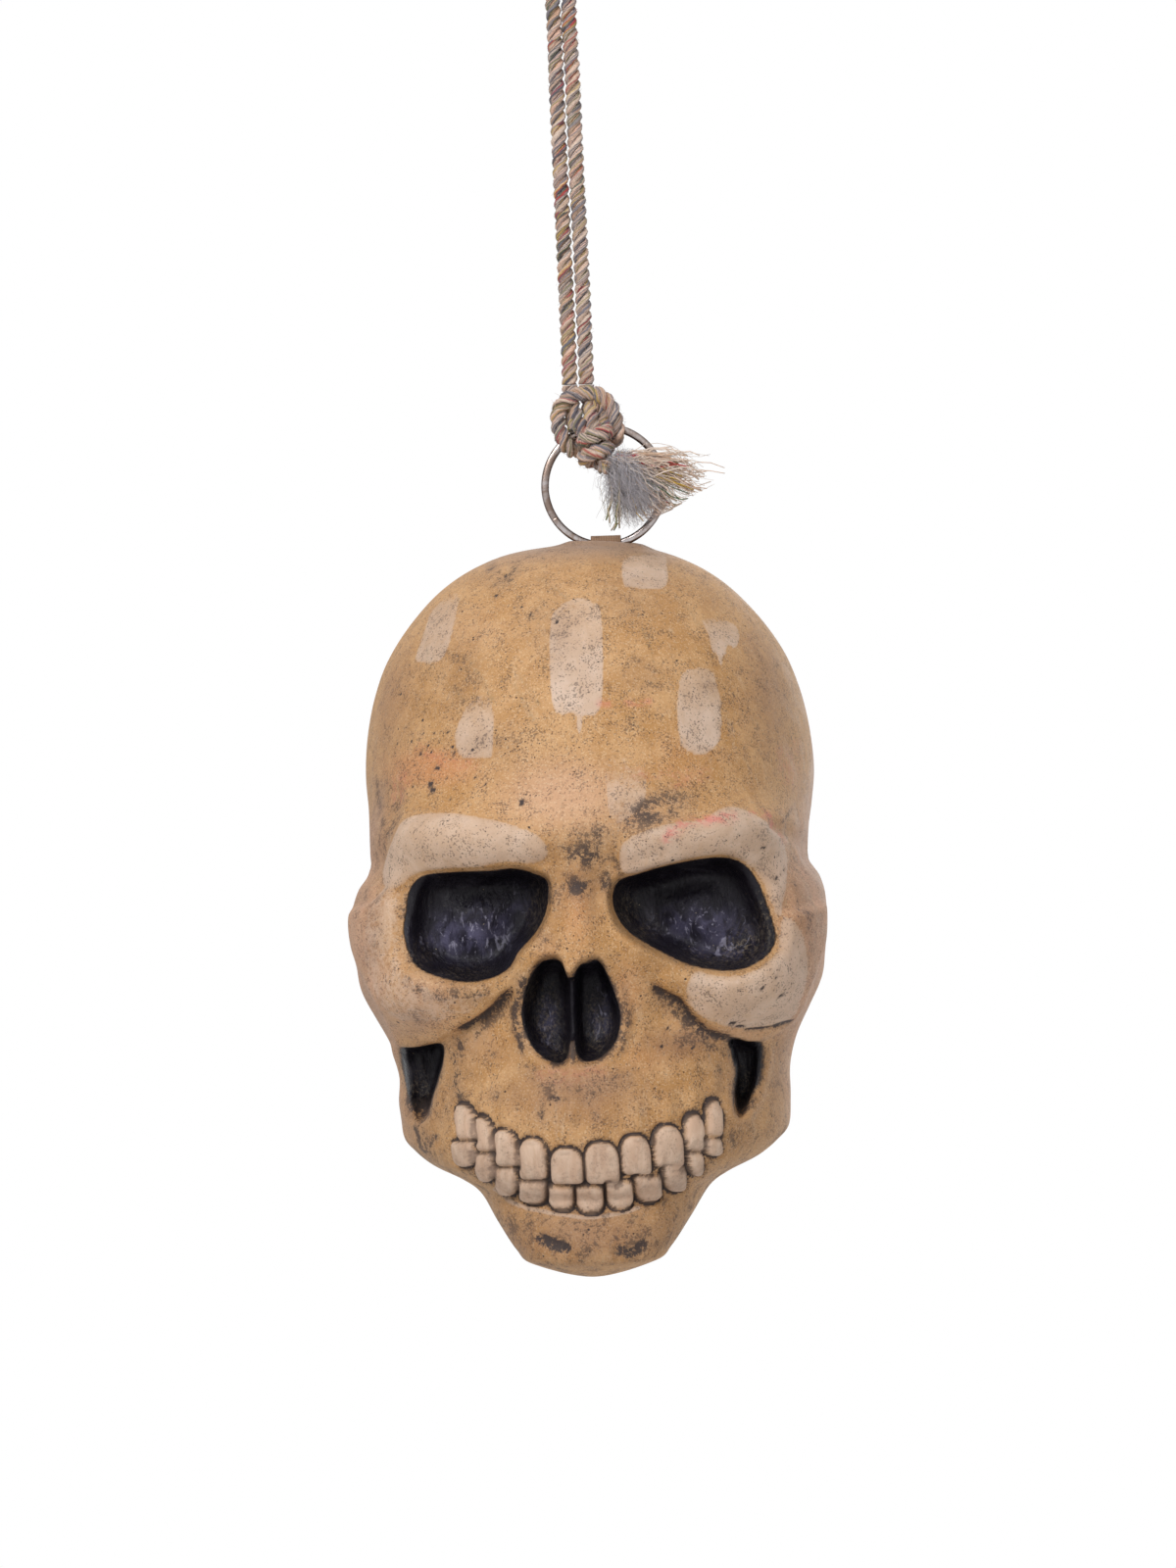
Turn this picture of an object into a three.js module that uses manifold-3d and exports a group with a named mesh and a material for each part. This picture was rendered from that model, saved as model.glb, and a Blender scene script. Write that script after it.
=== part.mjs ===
// A hanging halloween skull: a painted latex skin over a foam core, hung by a fabric
// strap at the crown, a split ring and a doubled rope tied to the ring.
// Millimetres, +Z up, the face looks to -Y. The origin is the top of the rope's loop.

import * as THREE from 'three';
import Module from 'manifold-3d';
import { mergeVertices } from 'three/addons/utils/BufferGeometryUtils.js';

const wasm = await Module();
wasm.setup();

// Driving dimensions of the skull
const skull_height = 215.5;
const skull_width = 142.4;
const skull_depth = 176;
const skin_wall = 3;
const fit_gap = 0.3;
const cut_overrun = 6;
const weld_distance = 0.0001;
const least_reach = 1;
const socket_depth = 17;
const nose_depth = 12;
const recess_depth = 10;
const tooth_height = 9.5;
const tooth_bulge = 2.2;
const gum_groove_depth = 1.4;
const tooth_root = 2.85;

// Driving dimensions of the neck rim and its plug
const neck_diameter = 60;
const neck_level = 38;
const neck_height = 34;
const neck_setback = 16;
const pour_diameter = 38;
const plug_thickness = 9;
const plug_taper = 1.2;

// Driving dimensions of the hanger
const hanger_offset = 7.9;
const hanger_setback = -5;
const strap_width = 9;
const strap_thickness = 1.3;
const strap_foot = 7;
const washer_diameter = 30;
const washer_thickness = 1.5;
const boss_diameter = 34;
const boss_depth = 9;
const ring_sink = 0.75;

// Driving dimensions of the split ring
const ring_diameter = 38;
const ring_wire_width = 2.3;
const ring_wire_thickness = 1.1;
const ring_coil_gap = 0.25;
const ring_crossing_degrees = 30;
const ring_start_degrees = 196;

// Driving dimensions of the rope
const rope_diameter = 4.3;
const hitch_offset = 4.9;
const stopper_gap = 0.75;

// Places worked out from the driving dimensions
const half_width = skull_width / 2;
const half_depth = skull_depth / 2;
const rope_radius = rope_diameter / 2;
const ring_radius = (ring_diameter - ring_wire_width) / 2;
const ring_half_pitch = (ring_wire_thickness + ring_coil_gap) / 2;
const ring_level = skull_height - ring_sink + ring_radius;

// Height, half width, front, back, place of the widest point, and how square the front
// and the back of each level of the head are. Widths and depths are shares of the skull's.
const head_shares = [
  [0.000, 0.000, 0.114, 0.114, 0.114, 2.00, 2.0],
  [0.019, 0.250, 0.045, 0.199, 0.136, 2.20, 2.0],
  [0.038, 0.319, 0.028, 0.239, 0.153, 2.20, 2.0],
  [0.074, 0.400, 0.028, 0.284, 0.205, 2.15, 2.0],
  [0.110, 0.478, 0.030, 0.330, 0.273, 2.10, 2.0],
  [0.128, 0.560, 0.014, 0.375, 0.312, 2.05, 2.0],
  [0.146, 0.685, 0.005, 0.432, 0.352, 2.00, 2.0],
  [0.165, 0.764, 0.002, 0.489, 0.375, 1.95, 2.0],
  [0.184, 0.812, 0.002, 0.557, 0.398, 1.92, 2.1],
  [0.223, 0.822, 0.004, 0.653, 0.410, 1.90, 2.1],
  [0.265, 0.824, 0.014, 0.750, 0.420, 1.88, 2.1],
  [0.305, 0.854, 0.026, 0.807, 0.420, 1.90, 2.1],
  [0.346, 0.910, 0.034, 0.852, 0.420, 2.05, 2.1],
  [0.387, 0.966, 0.028, 0.898, 0.426, 2.30, 2.1],
  [0.420, 0.984, 0.012, 0.926, 0.432, 2.50, 2.1],
  [0.449, 0.990, 0.006, 0.949, 0.438, 2.65, 2.1],
  [0.490, 1.000, 0.032, 0.972, 0.443, 2.80, 2.1],
  [0.524, 0.975, 0.044, 0.985, 0.480, 2.95, 2.1],
  [0.550, 0.930, 0.030, 0.994, 0.528, 3.00, 2.1],
  [0.591, 0.933, 0.014, 1.000, 0.580, 2.85, 2.1],
  [0.632, 0.952, 0.026, 1.000, 0.612, 2.55, 2.1],
  [0.674, 0.965, 0.043, 0.994, 0.625, 2.38, 2.1],
  [0.716, 0.958, 0.062, 0.981, 0.622, 2.28, 2.1],
  [0.758, 0.938, 0.084, 0.963, 0.614, 2.22, 2.1],
  [0.798, 0.906, 0.108, 0.940, 0.597, 2.18, 2.1],
  [0.840, 0.855, 0.136, 0.909, 0.580, 2.15, 2.1],
  [0.882, 0.774, 0.176, 0.869, 0.562, 2.12, 2.1],
  [0.923, 0.666, 0.222, 0.818, 0.545, 2.10, 2.1],
  [0.950, 0.570, 0.266, 0.772, 0.534, 2.05, 2.0],
  [0.972, 0.457, 0.318, 0.718, 0.528, 2.00, 2.0],
  [0.989, 0.320, 0.380, 0.655, 0.523, 2.00, 2.0],
  [0.998, 0.150, 0.450, 0.582, 0.520, 2.00, 2.0],
  [1.000, 0.000, 0.520, 0.520, 0.520, 2.00, 2.0],
];

// Soft swellings and hollows of the face: side and height of the centre, reach to the side
// and up, and how far the surface swells, as shares of half width, height, and half depth
const swell_shares = [
  [0.50, 0.600, 0.32, 0.034, 0.062],
  [-0.50, 0.602, 0.32, 0.034, 0.062],
  [0.68, 0.385, 0.19, 0.040, 0.105],
  [-0.68, 0.385, 0.19, 0.040, 0.105],
  [0.36, 0.360, 0.13, 0.052, -0.060],
  [-0.40, 0.360, 0.13, 0.052, -0.060],
  [0.68, 0.285, 0.12, 0.055, -0.040],
  [-0.68, 0.285, 0.12, 0.055, -0.040],
  [-0.02, 0.490, 0.11, 0.075, 0.072],
  [-0.02, 0.620, 0.20, 0.035, 0.012],
  [0.86, 0.470, 0.08, 0.070, 0.020],
  [-0.86, 0.470, 0.08, 0.070, 0.020],
  [0.00, 0.045, 0.24, 0.036, 0.020],
  [0.00, 0.107, 0.36, 0.020, -0.022],
  [0.92, 0.640, 0.14, 0.070, -0.020],
  [-0.92, 0.640, 0.14, 0.070, -0.020],
];

// Outlines of the openings of the face, as shares of half width and height
const left_socket_shares = [
  [-0.698, 0.523], [-0.650, 0.547], [-0.450, 0.550], [-0.250, 0.543], [-0.165, 0.518],
  [-0.184, 0.481], [-0.299, 0.440], [-0.402, 0.415], [-0.535, 0.405], [-0.660, 0.423],
  [-0.720, 0.467],
];
const right_socket_shares = [
  [0.153, 0.512], [0.246, 0.531], [0.407, 0.546], [0.594, 0.554], [0.687, 0.532],
  [0.746, 0.485], [0.767, 0.443], [0.684, 0.415], [0.552, 0.405], [0.414, 0.415],
  [0.278, 0.443], [0.166, 0.481],
];
const left_nostril_shares = [
  [-0.075, 0.418], [-0.135, 0.424], [-0.205, 0.398], [-0.243, 0.362], [-0.228, 0.318],
  [-0.157, 0.299], [-0.085, 0.310],
];
const right_nostril_shares = [
  [-0.022, 0.418], [0.053, 0.421], [0.120, 0.395], [0.149, 0.361], [0.120, 0.315],
  [0.041, 0.290], [-0.022, 0.305],
];
const left_recess_shares = [
  [-0.640, 0.330], [-0.775, 0.322], [-0.770, 0.270], [-0.735, 0.215], [-0.665, 0.235],
  [-0.640, 0.285],
];
const right_recess_shares = [
  [0.590, 0.318], [0.690, 0.322], [0.705, 0.275], [0.665, 0.222], [0.600, 0.235],
  [0.585, 0.280],
];

// Depth and size of the rings of a bowl, from its mouth to the crown of its floor
const bowl_profile_shares = [[0.00, 1.04], [0.42, 0.96], [0.80, 0.86], [1.00, 0.68], [0.90, 0.42], [0.74, 0.16]];
const slot_profile_shares = [[0.00, 1.02], [0.60, 0.90], [1.00, 0.55]];

// Sides of each tooth, and the height of its neck above the bite line, as shares of half
// width and of the tooth height
const upper_tooth_shares = [
  [-0.535, -0.465, 1.05], [-0.457, -0.390, 1.08], [-0.382, -0.292, 1.10], [-0.282, -0.170, 1.16],
  [-0.154, -0.028, 1.05], [-0.014, 0.118, 1.14], [0.130, 0.243, 1.12], [0.256, 0.370, 1.16],
  [0.380, 0.452, 1.10], [0.460, 0.528, 1.10],
];
const lower_tooth_shares = [
  [-0.545, -0.468, 0.80], [-0.460, -0.386, 0.84], [-0.380, -0.294, 0.86], [-0.284, -0.178, 0.76],
  [-0.166, -0.067, 0.72], [-0.057, 0.047, 0.76], [0.066, 0.170, 0.74], [0.178, 0.282, 0.90],
  [0.290, 0.383, 0.98], [0.391, 0.452, 0.80], [0.460, 0.528, 0.66],
];
const bite_level_share = 0.139;
const bite_rise_share = 0.056;
const bite_reach_share = 0.5;
const trough_reach_share = 0.57;
const trough_top_share = 1.12;
const trough_bottom_share = 0.74;

// Smooth value of one column of a table of rows, at a place counted in rows. The first
// column is the height, which starts level so that the chin is round.
function rowValue(rows, column, place) {
  const last = rows.length - 1;
  const index = Math.min(Math.floor(place), last - 1);
  const t = place - index;
  const pick = (i) => rows[Math.min(Math.max(i, 0), last)][column];
  const before = pick(index - 1);
  const start = pick(index);
  const end = pick(index + 1);
  const after = pick(index + 2);
  const firstSlope = column === 0 ? 0 : end - start;
  const startSlope = index === 0 ? firstSlope : (end - before) / 2;
  const endSlope = index === last - 1 ? end - start : (after - start) / 2;
  const t2 = t * t;
  const t3 = t2 * t;
  return start * (2 * t3 - 3 * t2 + 1) + startSlope * (t3 - 2 * t2 + t)
    + end * (3 * t2 - 2 * t3) + endSlope * (t3 - t2);
}

// The head's section at a place among its rows
function headLevel(place) {
  const value = (column) => rowValue(head_shares, column, place);
  return {
    z: value(0) * skull_height,
    half: Math.max(value(1), 0) * half_width,
    front: value(2) * skull_depth - half_depth,
    back: value(3) * skull_depth - half_depth,
    widest: value(4) * skull_depth - half_depth,
    frontPower: value(5),
    backPower: value(6),
  };
}

// How far the swellings push the surface out at a point of the face
function swell(x, z) {
  let sum = 0;
  for (const [side, level, reach, rise, height] of swell_shares) {
    const across = (x / half_width - side) / reach;
    const up = (z / skull_height - level) / rise;
    sum += height * half_depth * Math.exp(-across * across - up * up);
  }
  return sum;
}

// A point of the head's surface at a place among its rows and an angle round it.
// Angle zero looks to the front, and the swellings fade out towards the back.
function headPoint(place, angle) {
  const level = headLevel(place);
  const side = Math.sin(angle);
  const ahead = Math.cos(angle);
  const power = ahead > 0 ? level.frontPower : level.backPower;
  const extent = ahead > 0 ? level.widest - level.front : level.back - level.widest;
  const radius = (Math.abs(side) ** power + Math.abs(ahead) ** power) ** (-1 / power);
  const x = level.half * radius * side;
  const y = level.widest - extent * radius * ahead;
  const push = swell(x, level.z) * Math.max(ahead, 0) ** 0.5;
  const slopeX = side / Math.max(level.half, least_reach);
  const slopeY = ahead / Math.max(extent, least_reach);
  const length = Math.hypot(slopeX, slopeY);
  return new THREE.Vector3(x + push * slopeX / length, y - push * slopeY / length, level.z);
}

// The front of the head straight behind a point of the face
function faceDepth(x, z) {
  let low = 0;
  let high = head_shares.length - 1;
  for (let i = 0; i < 40; i += 1) {
    const middle = (low + high) / 2;
    if (headLevel(middle).z < z) low = middle;
    else high = middle;
  }
  const level = headLevel(low);
  const across = Math.min(Math.abs(x) / level.half, 1);
  const ahead = (1 - across ** level.frontPower) ** (1 / level.frontPower);
  return level.widest - (level.widest - level.front) * ahead - swell(x, z);
}

// A closed solid through rings of equally many points, with both ends closed by a fan
function ringSolid(rings, firstPole, lastPole) {
  const count = rings[0].length;
  const points = [firstPole, ...rings.flat(), lastPole];
  const positions = points.flatMap((p) => [p.x, p.y, p.z]);
  const faces = [];
  const at = (ring, i) => 1 + ring * count + (i % count);
  for (let i = 0; i < count; i += 1) {
    faces.push(0, at(0, i + 1), at(0, i));
    faces.push(points.length - 1, at(rings.length - 1, i), at(rings.length - 1, i + 1));
    for (let ring = 0; ring + 1 < rings.length; ring += 1) {
      faces.push(at(ring, i), at(ring, i + 1), at(ring + 1, i));
      faces.push(at(ring, i + 1), at(ring + 1, i + 1), at(ring + 1, i));
    }
  }
  const geometry = new THREE.BufferGeometry();
  geometry.setAttribute('position', new THREE.Float32BufferAttribute(positions, 3));
  geometry.setIndex(faces);
  return geometry;
}

// A three.js geometry as a solid that can be joined and cut, facing outwards
function solid(source) {
  const bare = source.clone();
  bare.deleteAttribute('normal');
  bare.deleteAttribute('uv');
  const merged = mergeVertices(bare, weld_distance);
  const vertProperties = Float32Array.from(merged.attributes.position.array);
  const triVerts = Uint32Array.from(merged.index.array);
  let volume = 0;
  const a = new THREE.Vector3();
  const b = new THREE.Vector3();
  const c = new THREE.Vector3();
  for (let i = 0; i < triVerts.length; i += 3) {
    a.fromArray(vertProperties, triVerts[i] * 3);
    b.fromArray(vertProperties, triVerts[i + 1] * 3);
    c.fromArray(vertProperties, triVerts[i + 2] * 3);
    volume += a.dot(b.cross(c));
  }
  if (volume < 0) triVerts.reverse();
  return new wasm.Manifold(new wasm.Mesh({ numProp: 3, vertProperties, triVerts }));
}

// A joined or cut solid as a three.js geometry
function shape(manifold) {
  const mesh = manifold.getMesh();
  const geometry = new THREE.BufferGeometry();
  const positions = [];
  for (let i = 0; i < mesh.vertProperties.length; i += mesh.numProp) {
    positions.push(mesh.vertProperties[i], mesh.vertProperties[i + 1], mesh.vertProperties[i + 2]);
  }
  geometry.setAttribute('position', new THREE.Float32BufferAttribute(positions, 3));
  geometry.setIndex(Array.from(mesh.triVerts));
  geometry.computeVertexNormals();
  return geometry;
}

// The head as a loft, moved in along its own normals by an inset
function headLoft(ringCount, pointCount, frontCrowding, inset) {
  const last = head_shares.length - 1;
  const rings = [];
  for (let ring = 1; ring < ringCount; ring += 1) {
    const place = ring / ringCount * last;
    const points = [];
    for (let i = 0; i < pointCount; i += 1) {
      const turn = i / pointCount * Math.PI * 2;
      points.push(headPoint(place, turn - frontCrowding * Math.sin(turn)));
    }
    rings.push(points);
  }
  const geometry = ringSolid(rings, headPoint(0, 0), headPoint(last, 0));
  geometry.computeVertexNormals();
  const { position, normal } = geometry.attributes;
  const outwards = Math.sign(normal.getZ(position.count - 1));
  for (let i = 0; i < position.count; i += 1) {
    const shift = -inset * outwards;
    position.setXYZ(
      i,
      position.getX(i) + normal.getX(i) * shift,
      position.getY(i) + normal.getY(i) * shift,
      position.getZ(i) + normal.getZ(i) * shift,
    );
  }
  return solid(geometry);
}

// A bowl sunk into the face behind an outline. Growth widens and deepens it, and the
// floor follows the profile's rings and ends in a low crown.
function bowl(outlineShares, profileShares, depth, growth, pointCount) {
  const corners = outlineShares.map(([side, level]) => (
    new THREE.Vector3(side * half_width, 0, level * skull_height)
  ));
  const outline = new THREE.CatmullRomCurve3(corners, true).getPoints(pointCount).slice(0, pointCount);
  const centre = outline.reduce((sum, p) => sum.add(p), new THREE.Vector3()).divideScalar(pointCount);
  const mouth = faceDepth(centre.x, centre.z);
  const ring = (size, y) => outline.map((p) => {
    const arm = p.clone().sub(centre);
    arm.setLength(arm.length() * size + growth);
    return new THREE.Vector3(centre.x + arm.x, y, centre.z + arm.z);
  });
  const rings = [ring(profileShares[0][1], mouth - cut_overrun - skin_wall)];
  for (const [share, size] of profileShares) {
    rings.push(ring(size, mouth + share * depth + growth));
  }
  const firstPole = new THREE.Vector3(centre.x, rings[0][0].y, centre.z);
  const lastPole = new THREE.Vector3(centre.x, rings[rings.length - 1][0].y, centre.z);
  return solid(ringSolid(rings, firstPole, lastPole));
}

// Every bowl of the face, widened by a growth
function faceBowls(growth) {
  const fine = growth > 0 ? 12 : 22;
  const small = growth > 0 ? 8 : 14;
  return [
    bowl(left_socket_shares, bowl_profile_shares, socket_depth, growth, fine),
    bowl(right_socket_shares, bowl_profile_shares, socket_depth, growth, fine),
    bowl(left_nostril_shares, slot_profile_shares, nose_depth, growth, small),
    bowl(right_nostril_shares, slot_profile_shares, nose_depth, growth, small),
    bowl(left_recess_shares, slot_profile_shares, recess_depth, growth, small - 2),
    bowl(right_recess_shares, slot_profile_shares, recess_depth, growth, small - 2),
  ];
}

// Height of the bite line at a side
function biteLevel(x) {
  const across = x / (bite_reach_share * half_width);
  return (bite_level_share + bite_rise_share * across * across) * skull_height;
}

// One rounded tooth between two sides, from the rise of its neck to that of its biting
// edge over the bite line, which it leans along
function tooth(leftShare, rightShare, neckRise, edgeRise) {
  const ringCount = 3;
  const pointCount = 10;
  const middle = (leftShare + rightShare) / 2 * half_width;
  const width = (rightShare - leftShare) * half_width;
  const left = new THREE.Vector3(middle - width / 2, 0, 0);
  const right = new THREE.Vector3(middle + width / 2, 0, 0);
  const rowRise = (neckRise + edgeRise) / 2;
  const level = biteLevel(middle) + rowRise;
  left.y = faceDepth(left.x, level);
  right.y = faceDepth(right.x, level);
  const along = right.clone().sub(left);
  const outwards = new THREE.Vector3(along.y, -along.x, 0).normalize();
  const centre = left.clone().add(right).divideScalar(2);
  centre.addScaledVector(outwards, -gum_groove_depth);
  const height = neckRise - edgeRise;
  const rings = [];
  for (let ring = 0; ring < ringCount; ring += 1) {
    const rise = ring / ringCount;
    const size = (1 - rise ** 3) ** (1 / 3);
    const out = rise * (gum_groove_depth + tooth_bulge) - (ring === 0 ? tooth_root : 0);
    const points = [];
    for (let i = 0; i < pointCount; i += 1) {
      const turn = (i + 0.5) / pointCount * Math.PI * 2;
      const cos = Math.cos(turn);
      const sin = Math.sin(turn);
      const square = (Math.abs(cos) ** 3.4 + Math.abs(sin) ** 3.4) ** (-1 / 3.4);
      const point = centre.clone();
      point.addScaledVector(along, square * cos * size / 2);
      point.addScaledVector(outwards, out);
      point.z = biteLevel(point.x) + rowRise + square * sin * size * height / 2;
      points.push(point);
    }
    rings.push(points);
  }
  const root = centre.clone().addScaledVector(outwards, -gum_groove_depth);
  root.z = level;
  const face = centre.clone().addScaledVector(outwards, gum_groove_depth + tooth_bulge);
  face.z = level;
  return solid(ringSolid(rings, root, face));
}

// Both rows of teeth
function teeth() {
  const rows = [];
  for (const [left, right, neck] of upper_tooth_shares) {
    rows.push(tooth(left, right, neck * tooth_height, fit_gap));
  }
  for (const [left, right, neck] of lower_tooth_shares) {
    rows.push(tooth(left, right, -fit_gap, -neck * tooth_height));
  }
  return rows;
}

// The shallow trough along both rows, which the teeth stand in, widened by a growth
function gumTrough(growth) {
  const reach = trough_reach_share * half_width + growth;
  const steps = 14;
  const rings = [];
  for (let step = 0; step <= steps; step += 1) {
    const x = (step / steps * 2 - 1) * reach;
    const bite = biteLevel(x);
    const top = bite + tooth_height * trough_top_share + growth;
    const bottom = bite - tooth_height * trough_bottom_share - growth;
    const floor = -gum_groove_depth - growth;
    const corner = (z, out) => new THREE.Vector3(x, faceDepth(x, z) - out, z);
    rings.push([
      corner(bottom, cut_overrun), corner(top, cut_overrun), corner(top, floor), corner(bottom, floor),
    ]);
  }
  const middle = (ring) => ring.reduce((sum, p) => sum.add(p), new THREE.Vector3()).divideScalar(4);
  return solid(ringSolid(rings, middle(rings[0]), middle(rings[steps])));
}

// A round solid about a vertical line at the hanger or the neck
function revolved(profile, x, y, z, segments) {
  const geometry = new THREE.LatheGeometry(profile.map(([r, h]) => new THREE.Vector2(r, h)), segments);
  geometry.rotateX(Math.PI / 2);
  geometry.translate(x, y, z);
  return geometry;
}

// The way that the ring's wire sweeps as the skull swings about it, a waisted bore
function ringSweep(halfLength, steps) {
  const clear = Math.hypot(ring_half_pitch, ring_wire_width / 2) + fit_gap;
  const profile = [new THREE.Vector2(0, -halfLength)];
  for (let step = 0; step <= steps; step += 1) {
    const x = (step / steps * 2 - 1) * halfLength;
    const sag = ring_radius - Math.sqrt(ring_radius ** 2 - x ** 2);
    profile.push(new THREE.Vector2(clear + sag, x));
  }
  profile.push(new THREE.Vector2(0, halfLength));
  const geometry = new THREE.LatheGeometry(profile, 20);
  geometry.rotateZ(Math.PI / 2);
  geometry.translate(hanger_offset, hanger_setback, ring_level - ring_radius);
  return solid(geometry);
}

// A block between two heights, centred on the hanger
function hangerBlock(width, depth, low, high) {
  const geometry = new THREE.BoxGeometry(width, depth, high - low);
  geometry.translate(hanger_offset, hanger_setback, (low + high) / 2);
  return geometry;
}

// Heights of the hanger's parts under the crown
const strap_inner = Math.hypot(ring_half_pitch, ring_wire_width / 2) + fit_gap;
const strap_outer = strap_inner + strap_thickness;
const boss_level = skull_height - boss_depth;
const washer_top = boss_level - fit_gap;
const washer_bottom = washer_top - washer_thickness;
const foot_top = washer_bottom - fit_gap;
const foot_bottom = foot_top - strap_thickness;

function hangerStrap() {
  const level = ring_level - ring_radius;
  const outline = new THREE.Shape();
  outline.moveTo(strap_outer + strap_foot, foot_bottom - level);
  outline.lineTo(strap_outer + strap_foot, foot_top - level);
  outline.lineTo(strap_outer, foot_top - level);
  outline.absarc(0, 0, strap_outer, 0, Math.PI, false);
  outline.lineTo(-strap_outer, foot_top - level);
  outline.lineTo(-strap_outer - strap_foot, foot_top - level);
  outline.lineTo(-strap_outer - strap_foot, foot_bottom - level);
  outline.lineTo(-strap_inner, foot_bottom - level);
  outline.absarc(0, 0, strap_inner, Math.PI, 0, true);
  outline.lineTo(strap_inner, foot_bottom - level);
  const geometry = new THREE.ExtrudeGeometry(outline, {
    depth: strap_width, bevelEnabled: false, curveSegments: 10,
  });
  geometry.rotateX(Math.PI / 2);
  geometry.rotateZ(Math.PI / 2);
  geometry.translate(hanger_offset - strap_width / 2, hanger_setback, level);
  return shape(solid(geometry).subtract(ringSweep(strap_width, 12)));
}

function anchorWasher() {
  const radius = washer_diameter / 2;
  const disc = revolved(
    [[0, washer_bottom], [radius, washer_bottom], [radius, washer_top], [0, washer_top]],
    hanger_offset, hanger_setback, 0, 28,
  );
  const slotWidth = strap_width + fit_gap * 2;
  const slotDepth = (strap_outer + fit_gap) * 2;
  const slot = hangerBlock(slotWidth, slotDepth, washer_bottom - cut_overrun, washer_top + cut_overrun);
  return shape(solid(disc).subtract(solid(slot)));
}

// The skin's closed outer form: the lofted head, its neck rim, its teeth and its bowls
function outerHead() {
  const neck = neck_diameter / 2;
  const rim = revolved(
    [[0, 0], [neck, 0], [neck + plug_taper, neck_height / 2], [neck, neck_height], [0, neck_height]],
    0, neck_setback, neck_level, 32,
  );
  let head = headLoft(42, 42, 0.42, 0).add(solid(rim));
  for (const cut of faceBowls(0)) head = head.subtract(cut);
  head = head.subtract(gumTrough(0));
  for (const piece of teeth()) head = head.add(piece);
  return head;
}

// The hollow inside the skin, or with a larger inset the core that fills it
function innerHead(inset) {
  const bossRadius = boss_diameter / 2 + inset - skin_wall;
  const bossLevel = boss_level - (inset - skin_wall);
  const boss = revolved(
    [[0, bossLevel], [bossRadius, bossLevel], [bossRadius, skull_height], [0, skull_height]],
    hanger_offset, hanger_setback, 0, 28,
  );
  let hollow = headLoft(28, 34, 0.4, inset);
  for (const cut of faceBowls(inset)) hollow = hollow.subtract(cut);
  return hollow.subtract(gumTrough(inset)).subtract(solid(boss));
}

function pourHole(growth) {
  const radius = pour_diameter / 2 + growth;
  return solid(revolved(
    [[0, -cut_overrun], [radius, -cut_overrun], [radius, neck_height], [0, neck_height]],
    0, neck_setback, neck_level, 32,
  ));
}

function skullSkin() {
  const slot = hangerBlock(
    strap_width + fit_gap * 2,
    (strap_outer + fit_gap) * 2,
    boss_level - cut_overrun,
    skull_height + cut_overrun,
  );
  return shape(outerHead()
    .subtract(innerHead(skin_wall))
    .subtract(pourHole(0))
    .subtract(solid(slot))
    .subtract(ringSweep(ring_radius / 2, 8)));
}

function foamCore() {
  const floorLevel = neck_level + plug_thickness + fit_gap;
  const floor = new THREE.BoxGeometry(skull_width, skull_depth, skull_height);
  floor.translate(0, neck_setback, floorLevel - skull_height / 2);
  const plugRoom = pourHole(fit_gap).intersect(solid(floor));
  const pocketRadius = washer_diameter / 2 + fit_gap;
  const pocket = revolved(
    [[0, washer_bottom - fit_gap], [pocketRadius, washer_bottom - fit_gap],
      [pocketRadius, skull_height], [0, skull_height]],
    hanger_offset, hanger_setback, 0, 28,
  );
  const feet = hangerBlock(
    strap_width + fit_gap * 2,
    (strap_outer + strap_foot + fit_gap) * 2,
    foot_bottom - fit_gap,
    skull_height,
  );
  return shape(innerHead(skin_wall + fit_gap)
    .subtract(solid(pocket))
    .subtract(solid(feet))
    .add(pourHole(-fit_gap))
    .subtract(plugRoom));
}

function pourPlug() {
  const radius = pour_diameter / 2 - fit_gap;
  return revolved(
    [[0, 0], [radius - plug_taper / 2, 0], [radius, plug_taper / 2], [radius - plug_taper, plug_thickness],
      [0, plug_thickness]],
    0, neck_setback, neck_level, 32,
  );
}

// The split ring: one flattened wire wound nearly twice round, the second turn beside the
// first. It steps over to its other side in the gap between its two ends.
function splitRing() {
  const steps = 72;
  const sectionCount = 6;
  const crossing = THREE.MathUtils.degToRad(ring_crossing_degrees);
  const sweep = Math.PI * 4 - crossing;
  const start = THREE.MathUtils.degToRad(ring_start_degrees);
  const rings = [];
  for (let step = 0; step <= steps; step += 1) {
    const turned = (step / steps - 0.5) * sweep;
    const angle = start + turned;
    const shift = THREE.MathUtils.clamp(turned / (crossing / 2), -1, 1) * ring_half_pitch;
    const points = [];
    for (let i = 0; i < sectionCount; i += 1) {
      const turn = i / sectionCount * Math.PI * 2;
      const radius = ring_radius + Math.cos(turn) * ring_wire_width / 2;
      const y = shift + Math.sin(turn) * ring_wire_thickness / 2;
      points.push(new THREE.Vector3(radius * Math.cos(angle), y, radius * Math.sin(angle)));
    }
    rings.push(points);
  }
  const middle = (ring) => ring.reduce((sum, p) => sum.add(p), new THREE.Vector3()).divideScalar(sectionCount);
  return ringSolid(rings, middle(rings[0]), middle(rings[steps]));
}

// A smooth line through the chosen points of a route
function ropeLine(points) {
  return new THREE.CatmullRomCurve3(points.map((p) => new THREE.Vector3(...p)), false, 'centripetal');
}

// A rope laid along a line
function ropeTube(line, steps, sides) {
  const section = new THREE.Shape();
  for (let i = 0; i < sides; i += 1) {
    const turn = i / sides * Math.PI * 2;
    const place = [rope_radius * Math.cos(turn), rope_radius * Math.sin(turn)];
    if (i === 0) section.moveTo(...place);
    else section.lineTo(...place);
  }
  section.closePath();
  return new THREE.ExtrudeGeometry(section, { steps, bevelEnabled: false, extrudePath: line });
}

// The middle of the wire under the hitch, from the ring's centre
const hitch_turn = Math.asin(hitch_offset / ring_radius);
const hitch_rise = ring_radius * Math.cos(hitch_turn);

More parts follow.
